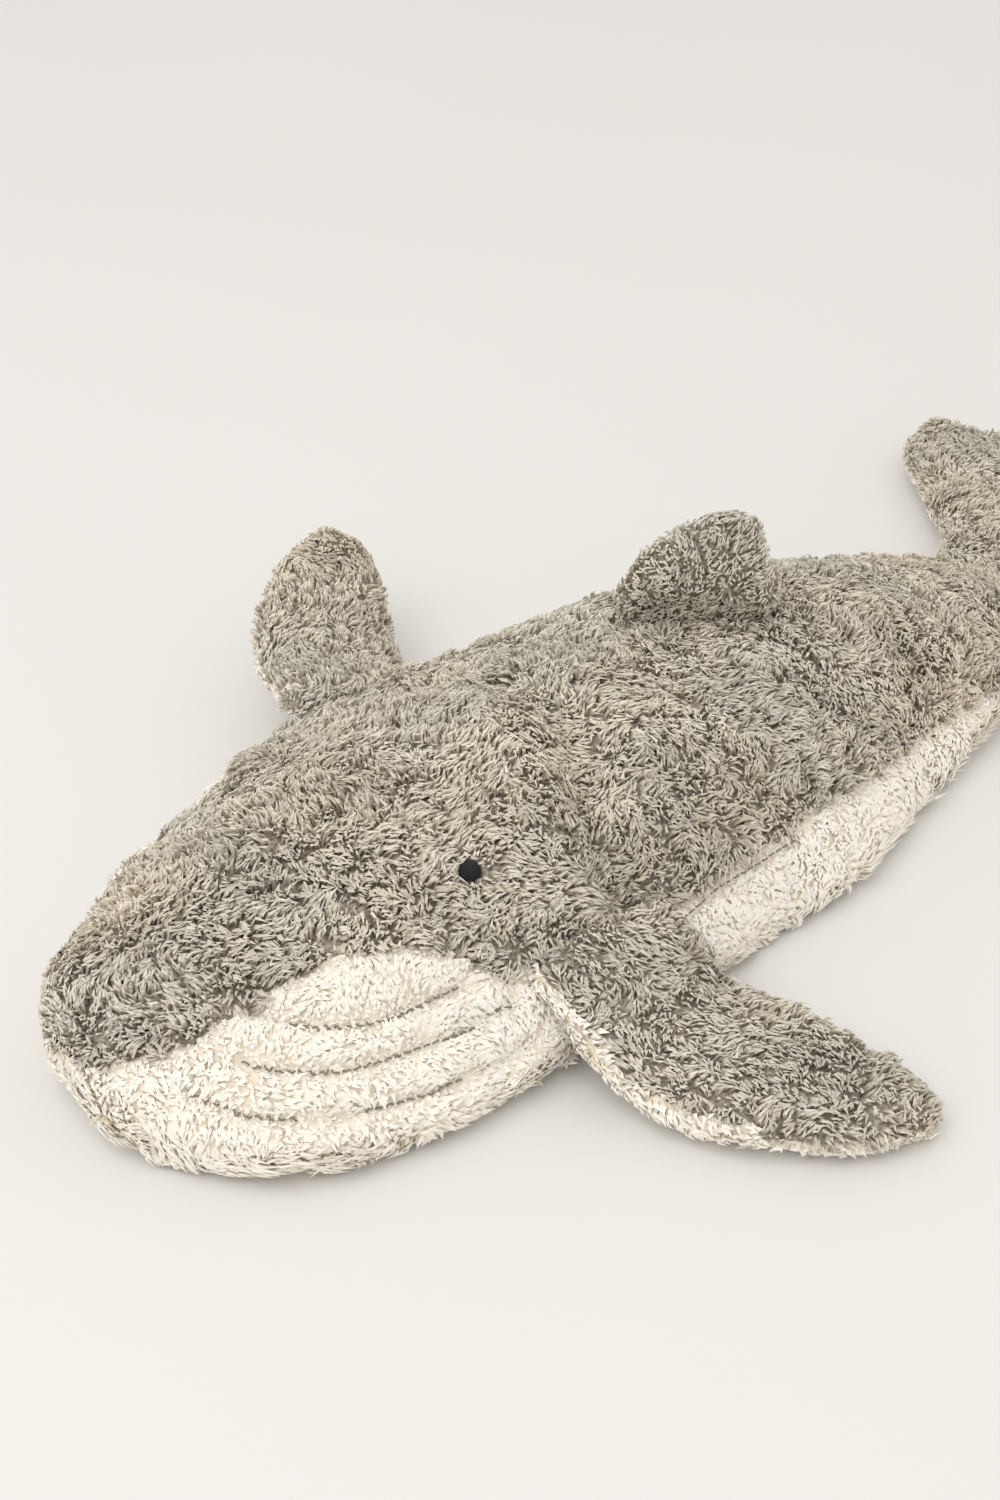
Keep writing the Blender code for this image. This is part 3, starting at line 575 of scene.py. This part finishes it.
def clothOf(points, normals, faces, thickness):
    # a patch of the form as real cloth: an outer face, an inner face and a rim
    used, index = np.unique(faces, return_inverse=True)
    faces = index.reshape(-1, 4)
    normals = normals[used]
    outer = points[used]
    count = len(outer)
    edges = np.concatenate([faces[:, [0, 1]], faces[:, [1, 2]], faces[:, [2, 3]], faces[:, [3, 0]]])
    known = set(map(tuple, edges.tolist()))
    rim = [(a, b) for a, b in edges.tolist() if (b, a) not in known]
    walls = [(b, a, a + count, b + count) for a, b in rim]
    inner = faces[:, ::-1] + count
    every = np.concatenate([faces, inner] + ([np.array(walls)] if walls else []))
    both = np.concatenate([outer, outer - normals * thickness])
    return both, np.concatenate([normals, -normals]), every


def flowOver(seeds, normals, base, draw, swirl):
    broad = np.stack([softNoise(seeds, swirl["size"], s) for s in (11, 12, 13)], 1)
    fine = np.stack([softNoise(seeds, swirl["fineSize"], s) for s in (14, 15, 16)], 1)
    wander = broad * swirl["amount"] + fine * swirl["fineAmount"]
    way = base + wander + draw.normal(0, swirl["loose"], seeds.shape)
    return unit(way - normals * (way * normals).sum(1)[:, None])


# the body's cover
cover = {
    "voxel": 0.0026, "smoothing": 5, "shrink": 0.0026, "thickness": 0.0009,
    "seamDepth": 0.0011, "seamWidth": 0.0030,
    "sag": 0.0011, "sagSize": 0.045,
    "cell": 0.00125, "pressedCell": 0.0023,
    "table": 0.0012, "stillBelow": 0.004, "stillFade": 0.006,
    "pressedBelow": 0.004, "pressedFacing": -0.6, "underFin": 0.0012,
}
bodyPile = {
    "bareGap": 0.0019, "height": 0.0032, "lean": 0.0040, "curl": 0.0011,
    "width": 0.00120, "thick": 0.34, "patchSize": 0.011, "clumpEvery": 11, "clump": 0.50,
}
throatPile = {
    "bareGap": 0.0018, "height": 0.0010, "lean": 0.0036, "curl": 0.0009,
    "width": 0.00200, "thick": 0.19, "patchSize": 0.010, "clumpEvery": 9, "clump": 0.20,
    "fringe": 1.1, "fringeFacing": 0.12, "fringeFade": 0.4,
}
swirl = {"size": 0.045, "amount": 1.2, "fineSize": 0.012, "fineAmount": 0.95, "loose": 0.38}
neckCrease = {
    # places along the body and across it
    "line": [(0.178, -0.010), (0.172, -0.023), (0.161, -0.042), (0.156, -0.053), (0.159, -0.067)],
    "depth": 0.0050, "width": 0.0080, "farSide": 0.55,
    "ridge": 0.0024, "ridgeAt": 0.016, "ridgeWidth": 0.009, "ridgeBehind": 0.45,
}
mouthSeam = {
    # place along the body, distance from the middle and height, in metres
    "along": [
        0.0, 0.0011, 0.0016, 0.0073, 0.017, 0.027, 0.0355, 0.047,
        0.0586, 0.0736, 0.089, 0.098, 0.104, 0.110, 0.116,
    ],
    "breadth": [
        0.003, 0.0034, 0.0079, 0.020, 0.030, 0.034, 0.0356, 0.0356,
        0.0356, 0.038, 0.0446, 0.051, 0.0566, 0.0625, 0.0685,
    ],
    "height": [
        0.021, 0.0235, 0.0294, 0.0347, 0.0378, 0.0395, 0.0414, 0.0436,
        0.046, 0.0472, 0.046, 0.0434, 0.0402, 0.0361, 0.0306,
    ],
    "below": 0.0085, "farSide": 0.016, "farSideDrop": 0.6,
    "easeIn": 0.03, "easeOut": 0.045, "backSeam": -0.0008,
}
tuckLines = {
    # shares of the body's length and of its half width there
    "inner": [(0.111, 0.54), (0.142, 0.68), (0.176, 0.73), (0.217, 0.76), (0.246, 0.77)],
    "middle": [
        (0.086, 0.68), (0.099, 0.74), (0.135, 0.82), (0.174, 0.84), (0.217, 0.86), (0.268, 0.88),
    ],
    "outer": [
        (0.048, 0.78), (0.065, 0.87), (0.111, 0.94), (0.177, 0.96), (0.231, 0.975), (0.270, 0.98),
    ],
}
tuck = {
    "bodyLength": 0.405, "inward": 0.955, "margin": 0.001,
    "depth": 0.0021, "width": 0.0022, "puff": 0.0008, "puffAt": 0.0085, "puffWidth": 0.005,
    "bare": 0.00075, "low": 0.0040, "lowest": 0.36, "parting": 0.005, "push": 2.4,
}

coverNodes = ["back_panel_left", "back_panel_right", "belly_panel"]
bodyNodes = [*coverNodes, "head_stuffing", "tail_stuffing", "grain_pouch"]
points, faces = formOf(bodyNodes, cover["voxel"], cover["smoothing"], cover["shrink"])
print("stage: body form,", len(faces), "faces")
coverTrees = [treeOf(name) for name in coverNodes]
bodyTree = formTree(points, faces)


def onCrown(x, y):
    spot = bodyTree.ray_cast(Vector((x, y, 0.2)), Vector((0, 0, -1)))[0]
    return np.array(spot) if spot else None


def tuckPath(side, shares):
    found = []
    for along, breadth in shares:
        x = along * tuck["bodyLength"] + snoutX
        near = points[abs(points[:, 0] - x) < 0.004]
        reach = abs(near[np.sign(near[:, 1]) == side, 1]).max() + cover["shrink"]
        y = min(reach * breadth * tuck["inward"], reach - cover["shrink"] - tuck["margin"])
        spot = onCrown(x, side * y)
        if spot is not None:
            found.append(spot)
    return smoothLine(found, 0.002)


tuckPaths = [tuckPath(side, shares) for side in (-1, 1) for shares in tuckLines.values()]
creaseLines = []
for side, strength in ((1, 1.0), (-1, neckCrease["farSide"])):
    spots = [onCrown(x + snoutX, side * y) for x, y in neckCrease["line"]]
    creaseLines.append((smoothLine([s for s in spots if s is not None], 0.004), strength))

normals = pointNormals(points, faces)
move = cover["sag"] * softNoise(points, cover["sagSize"], 5)
for line, strength in creaseLines:
    far, spot = lineDistance(points, line)
    ahead = points[:, 0] < spot[:, 0]
    move -= strength * neckCrease["depth"] * np.exp(-((far / neckCrease["width"]) ** 2))
    ridge = np.exp(-(((far - neckCrease["ridgeAt"]) / neckCrease["ridgeWidth"]) ** 2))
    move += strength * neckCrease["ridge"] * ridge * np.where(ahead, 1.0, neckCrease["ridgeBehind"])
tuckFar = np.full(len(points), farAway)
for line in tuckPaths:
    tuckFar = np.minimum(tuckFar, lineDistance(points, line)[0])
move -= tuck["depth"] * np.exp(-((tuckFar / tuck["width"]) ** 2))
move += tuck["puff"] * np.exp(-(((tuckFar - tuck["puffAt"]) / tuck["puffWidth"]) ** 2))
middles = points[faces].mean(1)
faceKind = outermost(middles, unit(normals[faces].mean(1)), coverTrees)
faceKind = smoothKinds(faceKind, faces, 5)
along = middles[:, 0] - snoutX
behind = mouthSeam["along"][-1] - along
easing = np.clip(along / mouthSeam["easeIn"], 0, 1) * np.clip(behind / mouthSeam["easeOut"], 0, 1)
lower = np.where(middles[:, 1] > 0, easing * mouthSeam["farSide"], 0)
breadth = np.interp(along, mouthSeam["along"], mouthSeam["breadth"]) + lower
height = np.interp(along, mouthSeam["along"], mouthSeam["height"])
height = height - mouthSeam["below"] - lower * mouthSeam["farSideDrop"]
grey = (abs(middles[:, 1]) < breadth) & (middles[:, 2] > height)
half = (middles[:, 1] > mouthSeam["backSeam"]).astype(int)
faceKind = np.where(behind > 0, np.where(grey, half, 2), faceKind)
faceKind = smoothKinds(faceKind, faces, 2)
kinds = [set() for _ in points]
for face, kind in zip(faces.tolist(), faceKind.tolist()):
    for corner in face:
        kinds[corner].add(kind)
seamTree = nearTree(points[[len(k) > 1 for k in kinds]])
seamFar = np.array([seamTree.find(Vector(p))[2] for p in points])
move -= cover["seamDepth"] * np.exp(-((seamFar / cover["seamWidth"]) ** 2))
free = np.clip((points[:, 2] - cover["stillBelow"]) / cover["stillFade"], 0, 1)
points = points + normals * (move * free)[:, None]
points[:, 2] = np.maximum(points[:, 2], cover["table"])
bodyTree = formTree(points, faces)
print("stage: body shaped")

# the eyes' places and the ways that they face, from their CAD solids
eyes = {}
for name in ("eye_left", "eye_right"):
    own = dataOf(nodes[name].data)
    centre = own.mean(0)
    spread = np.linalg.svd(own - centre)[2]
    axis = spread[2] * np.sign(spread[2][2])
    eyes[name] = (centre, axis)

finCover = {
    "voxel": 0.0018, "smoothing": 4, "thickness": 0.0006, "cell": 0.00122,
    "sag": 0.0006, "sagSize": 0.03, "table": 0.0012, "inBody": 0.0014,
}
finShrink = {"left_fin": 0.0010, "right_fin": 0.0010, "back_fin": 0.0012, "tail_fin": 0.0010}
finForms = {}
for name, shrink in finShrink.items():
    sides = ("right", "left") if name == "back_fin" else ("top", "under")
    solids = [f"{name}_{side}" for side in (*sides, "stuffing")]
    finForms[name] = formOf(solids, finCover["voxel"], finCover["smoothing"], shrink)
finTrees = [formTree(*form) for form in finForms.values()]
print("stage: fin forms")

# the pile is short round the eyes and lies away from them
eyeParting = {
    "reach": 0.012, "ball": 0.016, "bare": 0.0031, "shortest": 0.0034, "fade": 0.009,
    "push": 4.3, "pushReach": 0.011, "least": {"eye_left": 0.4, "eye_right": 0.85},
}
draw = np.random.default_rng(7)
seeds, seedNormals, seedFace = sown(points, faces, cover["cell"], draw)
pressed = (seeds[:, 2] < cover["pressedBelow"]) & (seedNormals[:, 2] < cover["pressedFacing"])
thinned = ~pressed | (draw.random(len(seeds)) < (cover["cell"] / cover["pressedCell"]) ** 2)
hidden = np.zeros(len(seeds), bool)
for tree in finTrees:
    hidden |= depthIn(seeds, tree) > cover["underFin"]
nearEye = np.ones(len(seeds))
away = np.zeros_like(seeds)
for name, (centre, axis) in eyes.items():
    least = eyeParting["least"][name]
    out = seeds - centre
    close = np.linalg.norm(out, axis=1) < eyeParting["ball"]
    out -= axis * (out @ axis)[:, None]
    far = np.linalg.norm(out, axis=1)
    close &= far < eyeParting["reach"]
    hidden |= close & (far < eyeParting["bare"])
    growth = least + (far[close] - eyeParting["shortest"]) / eyeParting["fade"]
    nearEye[close] = np.clip(growth, least, 1)
    push = (1 - least) * eyeParting["push"]
    push = push * np.clip(1 - far[close] / eyeParting["pushReach"], 0, 1)
    away[close] += unit(out[close]) * push[:, None]
seedTuck = np.full(len(seeds), farAway)
for line in tuckPaths:
    far, spot = lineDistance(seeds, line)
    seedTuck = np.minimum(seedTuck, far)
    close = far < tuck["parting"]
    push = tuck["push"] * (1 - far[close] / tuck["parting"])
    away[close] += unit((seeds - spot)[close]) * push[:, None]
hidden |= seedTuck < tuck["bare"] * np.clip(1 + 0.5 * softNoise(seeds, 0.03, 51), 0.3, 1.5)

flankSeam = {
    "line": [
        (0.164, -0.0745, 0.0245), (0.176, -0.0738, 0.0268), (0.190, -0.0730, 0.0282),
        (0.207, -0.0725, 0.0290), (0.222, -0.0716, 0.0288),
    ],
    "bare": 0.0008, "low": 0.005, "lowest": 0.5, "lift": 0.0024,
}
spots = [bodyTree.find_nearest(Vector((x + snoutX, y, z)))[0] for x, y, z in flankSeam["line"]]
stitchLine = smoothLine(spots, 0.002)
stitchFar, _ = lineDistance(seeds, stitchLine)
hidden |= stitchFar < flankSeam["bare"]
slit = {"start": 0.136, "end": 0.276, "bare": 0.0016}
seedAlong = seeds[:, 0] - snoutX
onSlit = (seedAlong > slit["start"]) & (seedAlong < slit["end"])
hidden |= onSlit & pressed & (abs(seeds[:, 1]) < slit["bare"])
keep = thinned & ~hidden
seeds, seedNormals, pressed, away = seeds[keep], seedNormals[keep], pressed[keep], away[keep]
lowest, gap = tuck["lowest"], seedTuck[keep] - tuck["bare"]
tall = nearEye[keep] * np.clip(lowest + gap / tuck["low"], lowest, 1)
lowest = flankSeam["lowest"]
tall = tall * np.clip(lowest + stitchFar[keep] / flankSeam["low"], lowest, 1)
seedKind = faceKind[seedFace[keep]]

# where cream meets grey, the cream lies low and away and the grey reaches over it
seamPile = {
    "fade": 0.007, "creamPush": 2.2, "greyPull": -0.5, "calm": 0.0012, "calmShare": 0.2,
    "lowest": 0.45, "low": 0.008,
}
found = [seamTree.find(Vector(p)) for p in seeds]
seamGap = np.array([f[2] for f in found])
fromSeam = unit(seeds - np.array([f[0] for f in found]))
fromSeam = fromSeam * np.clip(1 - seamGap / seamPile["fade"], 0, 1)[:, None]
cream = seedKind == 2
away = away + fromSeam * np.where(cream, seamPile["creamPush"], seamPile["greyPull"])[:, None]
calm = ~cream & (seamGap < seamPile["calm"])
away[calm] *= seamPile["calmShare"]
growth = np.clip(seamPile["lowest"] + seamGap / seamPile["low"], seamPile["lowest"], 1)
tall = np.where(cream, tall * growth, tall)
fringe = (throatPile["fringeFacing"] - seedNormals[:, 2]) / throatPile["fringeFade"]
fringe = np.clip(fringe, 0, 1) * ~pressed
tall = np.where(cream, tall * (1 + throatPile["fringe"] * fringe), tall)
combed = {"back": 0.75, "outward": 0.35}
side = np.sign(seeds[:, 1])[:, None]
outward = np.array([0.0, combed["outward"], 0.0])
base = np.array([combed["back"], 0.0, 0.0]) + side * outward + away
flow = flowOver(seeds, seedNormals, base, draw, swirl)
print("stage: body sown,", len(seeds), "locks")

# each panel's colour and pile, its two pieces and how far along the body they meet
panels = (
    {"colour": "grey", "pile": bodyPile, "front": "backPlushLeftFront",
     "rear": "backPlushLeftRear", "meet": 0.185},
    {"colour": "grey", "pile": bodyPile, "front": "backPlushRightFront",
     "rear": "backPlushRightRear", "meet": 0.185},
    {"colour": "cream", "pile": throatPile, "front": "throatPlush",
     "rear": "bellyPlush", "meet": 0.150},
)
faceAlong = points[faces].mean(1)[:, 0] - snoutX
formNormals = pointNormals(points, faces)
for kind, panel in enumerate(panels):
    mine = seedKind == kind
    values = dict(panel["pile"], tall=tall[mine], flat=pressed[mine])
    grown = coverLocks(seeds[mine], seedNormals[mine], flow[mine], values, draw)
    feetInFront = grown[3][:, 0] - snoutX < panel["meet"]
    facesInFront = faceAlong < panel["meet"]
    for end in ("front", "rear"):
        here = feetInFront == (end == "front")
        ownFaces = faces[(faceKind == kind) & (facesInFront == (end == "front"))]
        cloth = clothOf(points, formNormals, ownFaces, cover["thickness"])
        title, colour = panel[end], panel["colour"]
        piece = dressed(title, *cloth, *(part[here] for part in grown[:3]), colour)
        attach(piece, "body")
        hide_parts(coverNodes[kind])
        print("stage:", title, here.sum(), "locks,", len(cloth[2]), "cloth faces")


# fins
finPile = {
    "bareGap": 0.0018, "height": 0.0023, "lean": 0.0036, "curl": 0.0009,
    "width": 0.00115, "thick": 0.34, "patchSize": 0.009, "clumpEvery": 11, "clump": 0.45,
}
creamFinPile = dict(finPile, height=0.0016, width=0.0019, thick=0.20, clump=0.20)
finSwirl = {"size": 0.040, "amount": 0.9, "fineSize": 0.011, "fineAmount": 0.7, "loose": 0.25}
# each fin's two faces, which way its pile is combed, and where it starts to turn and turns fully
fins = {
    "left_fin": {
        "pieces": (("top", "leftFinTop", "grey"), ("under", "leftFinUnder", "cream")),
        "way": (0.5, -0.9, 0.0),
        "root": (-0.12065, -0.070, 0.029), "end": (-0.12065, -0.087, 0.024),
        "rolled": {"side": -1, "width": 0.0016, "facing": 0.75},
    },
    "right_fin": {
        "pieces": (("top", "rightFinTop", "grey"), ("under", "rightFinUnder", "cream")),
        "way": (0.5, 0.9, 0.0),
        "root": (-0.10065, 0.075, 0.029), "end": (-0.10065, 0.091, 0.033),
    },
    "back_fin": {
        "pieces": (("right", "backFinRight", "grey"), ("left", "backFinLeft", "grey")),
        "way": (0.8, 0.0, 0.7),
        "root": (-0.01265, 0.0085, 0.0590), "end": (-0.01265, 0.0085, 0.0730),
    },
    "tail_fin": {
        "pieces": (("top", "tailFinTop", "grey"), ("under", "tailFinUnder", "cream")),
        "way": (1.0, 0.0, 0.0), "outward": 0.35,
        "root": (0.143, 0.0, 0.010), "end": (0.162, 0.0, 0.010),
    },
}
for number, (name, fin) in enumerate(fins.items()):
    own, ownFaces = finForms[name]
    draw = np.random.default_rng(100 + number)
    trees = [treeOf(f"{name}_{kind}") for kind, _, _ in fin["pieces"]]
    ownNormals = pointNormals(own, ownFaces)
    middles, facings = own[ownFaces].mean(1), unit(ownNormals[ownFaces].mean(1))
    kindOf = smoothKinds(outermost(middles, facings, trees, 0.006), ownFaces, 3)
    if "rolled" in fin:
        # the cream underside rolls up round this edge
        facing = facings[:, 0] * fin["rolled"]["side"]
        edge = middles[facing > fin["rolled"]["facing"]]
        edgeTree = nearTree(edge)
        near = np.array([edgeTree.find(Vector(p))[2] for p in middles]) < fin["rolled"]["width"]
        kindOf[near] = 1
    sag = finCover["sag"] * softNoise(own, finCover["sagSize"], 6)
    own = own + ownNormals * sag[:, None]
    own[:, 2] = np.maximum(own[:, 2], finCover["table"])
    sprouts, turned, sproutFace = sown(own, ownFaces, finCover["cell"], draw)
    free = depthIn(sprouts, bodyTree) < finCover["inBody"]
    sprouts, turned = sprouts[free], turned[free]
    sproutKind = kindOf[sproutFace[free]]
    outward = np.sign(sprouts[:, 1])[:, None] * np.array([0.0, fin.get("outward", 0.0), 0.0])
    ways = flowOver(sprouts, turned, np.array(fin["way"]) + outward, draw, finSwirl)
    ownNormals = pointNormals(own, ownFaces)
    for k, (kind, title, colour) in enumerate(fin["pieces"]):
        mine = sproutKind == k
        full, none = np.ones(mine.sum()), np.zeros(mine.sum(), bool)
        values = dict(creamFinPile if colour == "cream" else finPile, tall=full, flat=none)
        locks, shares, tones, _ = coverLocks(sprouts[mine], turned[mine], ways[mine], values, draw)
        cloth = clothOf(own, ownNormals, ownFaces[kindOf == k], finCover["thickness"])
        piece = dressed(title, *cloth, locks, shares, tones, colour)
        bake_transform(piece)
        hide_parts(f"{name}_{kind}")
        print("stage:", title, len(locks), "locks,", len(cloth[2]), "cloth faces")


# thread: dashes of stitching, the eyes and the opening's hems
def tube(path, radius, sides=6):
    path = np.array(path)
    ahead = unit(np.gradient(path, axis=0))
    across = unit(np.cross(ahead, np.array([0.13, 0.27, 0.95])))
    up = np.cross(ahead, across)
    turn = (2 * np.pi * np.arange(sides) / sides)[None, :, None]
    rings = path[:, None] + radius * (np.cos(turn) * across[:, None] + np.sin(turn) * up[:, None])
    count = len(path)
    faces = []
    for i in range(count - 1):
        for s in range(sides):
            n = (s + 1) % sides
            low, high = i * sides, (i + 1) * sides
            faces.append((low + s, low + n, high + n, high + s))
    faces.append(tuple(range(sides))[::-1])
    faces.append(tuple((count - 1) * sides + s for s in range(sides)))
    return rings.reshape(-1, 3), faces


def joinedTubes(name, tubes, look, body):
    points, faces = [], []
    for ringPoints, ringFaces in tubes:
        start = sum(len(p) for p in points)
        points.append(ringPoints)
        faces += [tuple(start + i for i in f) for f in ringFaces]
    mesh = meshFrom(name, np.concatenate(points), faces)
    mesh.materials.append(look)
    mesh.shade_smooth()
    piece = shown(name, mesh)
    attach(piece, body)
    return piece


# some of the throat's stitches are lost in the pile
stitch = {
    "length": 0.0021, "gap": 0.0011, "radius": 0.00029, "lift": 0.0015,
    "fine": 0.0002, "patch": 0.05, "shownAbove": -0.3, "ends": 0.55, "bow": 0.45,
}


def stitches(line, lift, someLost):
    line = smoothLine(line, stitch["fine"])
    step = int((stitch["length"] + stitch["gap"]) / stitch["fine"])
    run = int(stitch["length"] / stitch["fine"])
    made = []
    showing = softNoise(line, stitch["patch"], 52) > stitch["shownAbove"]
    for start in range(0, len(line) - run, step):
        if someLost and not showing[start]:
            continue
        part = line[start:start + run + 1:2]
        spots = []
        for i, p in enumerate(part):
            spot, normal, _, _ = bodyTree.find_nearest(Vector(p))
            bow = math.sin(math.pi * i / (len(part) - 1))
            rise = lift * (stitch["ends"] + stitch["bow"] * bow)
            spots.append(np.array(spot) + np.array(normal) * rise)
        made.append(tube(spots, stitch["radius"]))
    return made


throat = [t for line in tuckPaths for t in stitches(line, stitch["lift"], True)]
flank = stitches(stitchLine, flankSeam["lift"], False)
joinedTubes("throatStitches", throat, looks["oliveThread"], "body")
joinedTubes("flankStitches", flank, looks["oliveThread"], "body")
print("stage: stitches,", len(throat))

# an eye is three layers of straight stitches, one across another
eyeThread = {
    "radius": 0.00021, "reach": 0.0034, "rows": 17, "outerRow": 0.93, "uneven": (0.88, 1.10),
    "crown": 0.0011, "lift": 0.0006, "turns": (0.2, 1.25, 2.3), "layer": 0.00022, "dive": 0.0012,
}
for number, (name, title) in enumerate((("eye_left", "leftEye"), ("eye_right", "rightEye"))):
    centre, axis = eyes[name]
    draw = np.random.default_rng(60 + number)
    along = unit(np.cross(axis, np.array([0.0, 0.0, 1.0])))
    across = np.cross(axis, along)
    made = []
    skin = bodyTree.ray_cast(Vector(centre + axis * 0.02), Vector(-axis))[0]
    foot = np.array(skin) + axis * eyeThread["lift"]
    reach = eyeThread["reach"]
    for layer, turn in enumerate(eyeThread["turns"]):
        a = along * math.cos(turn) + across * math.sin(turn)
        b = np.cross(axis, a)
        for row in np.linspace(-eyeThread["outerRow"], eyeThread["outerRow"], eyeThread["rows"]):
            half = math.sqrt(1 - row**2) * reach * draw.uniform(*eyeThread["uneven"])
            spots = []
            for t in np.linspace(-1, 1, 9):
                share = ((row * reach) ** 2 + (half * t) ** 2) / reach**2
                rise = eyeThread["crown"] * (1 - min(share, 1)) + eyeThread["lift"]
                rise += layer * eyeThread["layer"] - eyeThread["dive"] * abs(t) ** 8
                spots.append(foot + b * row * reach + a * half * t + axis * rise)
            made.append(tube(spots, eyeThread["radius"]))
    piece = joinedTubes(title, made, looks["blackThread"], "body")
    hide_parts(name)
print("stage: eyes")

hem = {"start": 0.134, "end": 0.278, "breadth": 0.0013, "radius": 0.0010, "height": 0.0011}
hems = []
for side in (-1, 1):
    xs = np.linspace(hem["start"], hem["end"], 60) + snoutX
    hems.append(tube([(x, side * hem["breadth"], hem["height"]) for x in xs], hem["radius"], 8))
joinedTubes("openingHems", hems, looks["creamBacking"], "body")

# what is inside: wadding, the pouch and the tapes
# each one's piece, its body and how fine its form is
inners = {
    "head_stuffing": ("headWadding", "body", 0.0030),
    "tail_stuffing": ("tailWadding", "body", 0.0030),
    "grain_pouch": ("grainPouch", "body", 0.0030),
    "left_fin_stuffing": ("leftFinWadding", "left_fin", 0.0014),
    "right_fin_stuffing": ("rightFinWadding", "right_fin", 0.0014),
    "back_fin_stuffing": ("backFinWadding", "back_fin", 0.0014),
    "tail_fin_stuffing": ("tailFinWadding", "tail_fin", 0.0014),
}
inner = {"shrink": 0.0002, "lump": 0.0003, "lumpSize": 0.012, "under": 0.0006}
for number, (node, (title, body, voxel)) in enumerate(inners.items()):
    own, ownFaces = formOf([node], voxel, 3, inner["shrink"])
    lumps = inner["lump"] * softNoise(own, inner["lumpSize"], 80 + number) - inner["lump"]
    own = own + pointNormals(own, ownFaces) * lumps[:, None]
    if body == "body":
        own = keptUnder(own, bodyTree, cover["thickness"] + inner["under"])
    mesh = meshFrom(title, own, ownFaces)
    mesh.materials.append(looks["linenWeave" if node == "grain_pouch" else "fibreFill"])
    mesh.shade_smooth()
    piece = shown(title, mesh)
    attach(piece, body)
    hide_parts(node)
for name in ("closure_hook_tape", "closure_loop_tape"):
    nodes[name].data.materials.clear()
    nodes[name].data.materials.append(looks["tapeWeave"])
print("stage: insides")

# floor, light and camera
stage = {
    "colour": (0.80, 0.785, 0.76), "half": 6.0, "mottle": 0.985,
    "world": (1.0, 0.985, 0.96), "worldStrength": 0.86,
    "lampPower": 12.5, "lampSize": 1.6, "lampPlace": (-1.05, -0.10, 1.55), "lampAim": 0.03,
}
half = stage["half"]
corners = [(-half, -half, 0), (half, -half, 0), (half, half, 0), (-half, half, 0)]
floorMesh = meshFrom("floor", corners, [(0, 1, 2, 3)])
floorLook, tree, shader = newLook("paleFloor", 0.7, 0.0, 0.2)
grain = noiseNode(tree, 3.0, 2.0)
mottled = tuple(c * stage["mottle"] for c in stage["colour"])
shades = ramp(tree, [(0.3, mottled), (0.7, stage["colour"])])
tree.links.new(grain.outputs["Fac"], shades.inputs["Fac"])
tree.links.new(shades.outputs["Color"], shader.inputs["Base Color"])
floorMesh.materials.append(floorLook)
floor = shown("floor", floorMesh)

world = bpy.data.worlds.new("softRoom")
bpy.context.scene.world = world
world.use_nodes = True
sky = world.node_tree.nodes["Background"]
sky.inputs["Color"].default_value = (*stage["world"], 1)
sky.inputs["Strength"].default_value = stage["worldStrength"]
lampData = bpy.data.lights.new("window", "AREA")
lampData.size = stage["lampSize"]
lampData.energy = stage["lampPower"]
lamp = bpy.data.objects.new("window", lampData)
lamp.location = stage["lampPlace"]
lamp.rotation_mode = "QUATERNION"
aim = Vector((0, 0, stage["lampAim"])) - lamp.location
lamp.rotation_quaternion = aim.to_track_quat("-Z", "Y")
bpy.context.scene.collection.objects.link(lamp)

camera = {
    "place": (-0.43585, -0.3999, 0.415), "forward": (0.5266, 0.6275, -0.5736),
    "right": (0.7660, -0.6428, 0.0), "lens": 50.0,
}
cameraData = bpy.data.cameras.new("camera")
cameraData.lens = camera["lens"]
cameraData.sensor_width = 36.0
cameraData.clip_start = 0.01
cam = bpy.data.objects.new("camera", cameraData)
forward, right = Vector(camera["forward"]).normalized(), Vector(camera["right"]).normalized()
turned = Matrix((right, right.cross(forward), -forward)).transposed().to_4x4()
cam.matrix_world = Matrix.Translation(camera["place"]) @ turned
bpy.context.scene.collection.objects.link(cam)
bpy.context.scene.camera = cam
bpy.context.scene.view_settings.view_transform = "Standard"

print("stage: done")
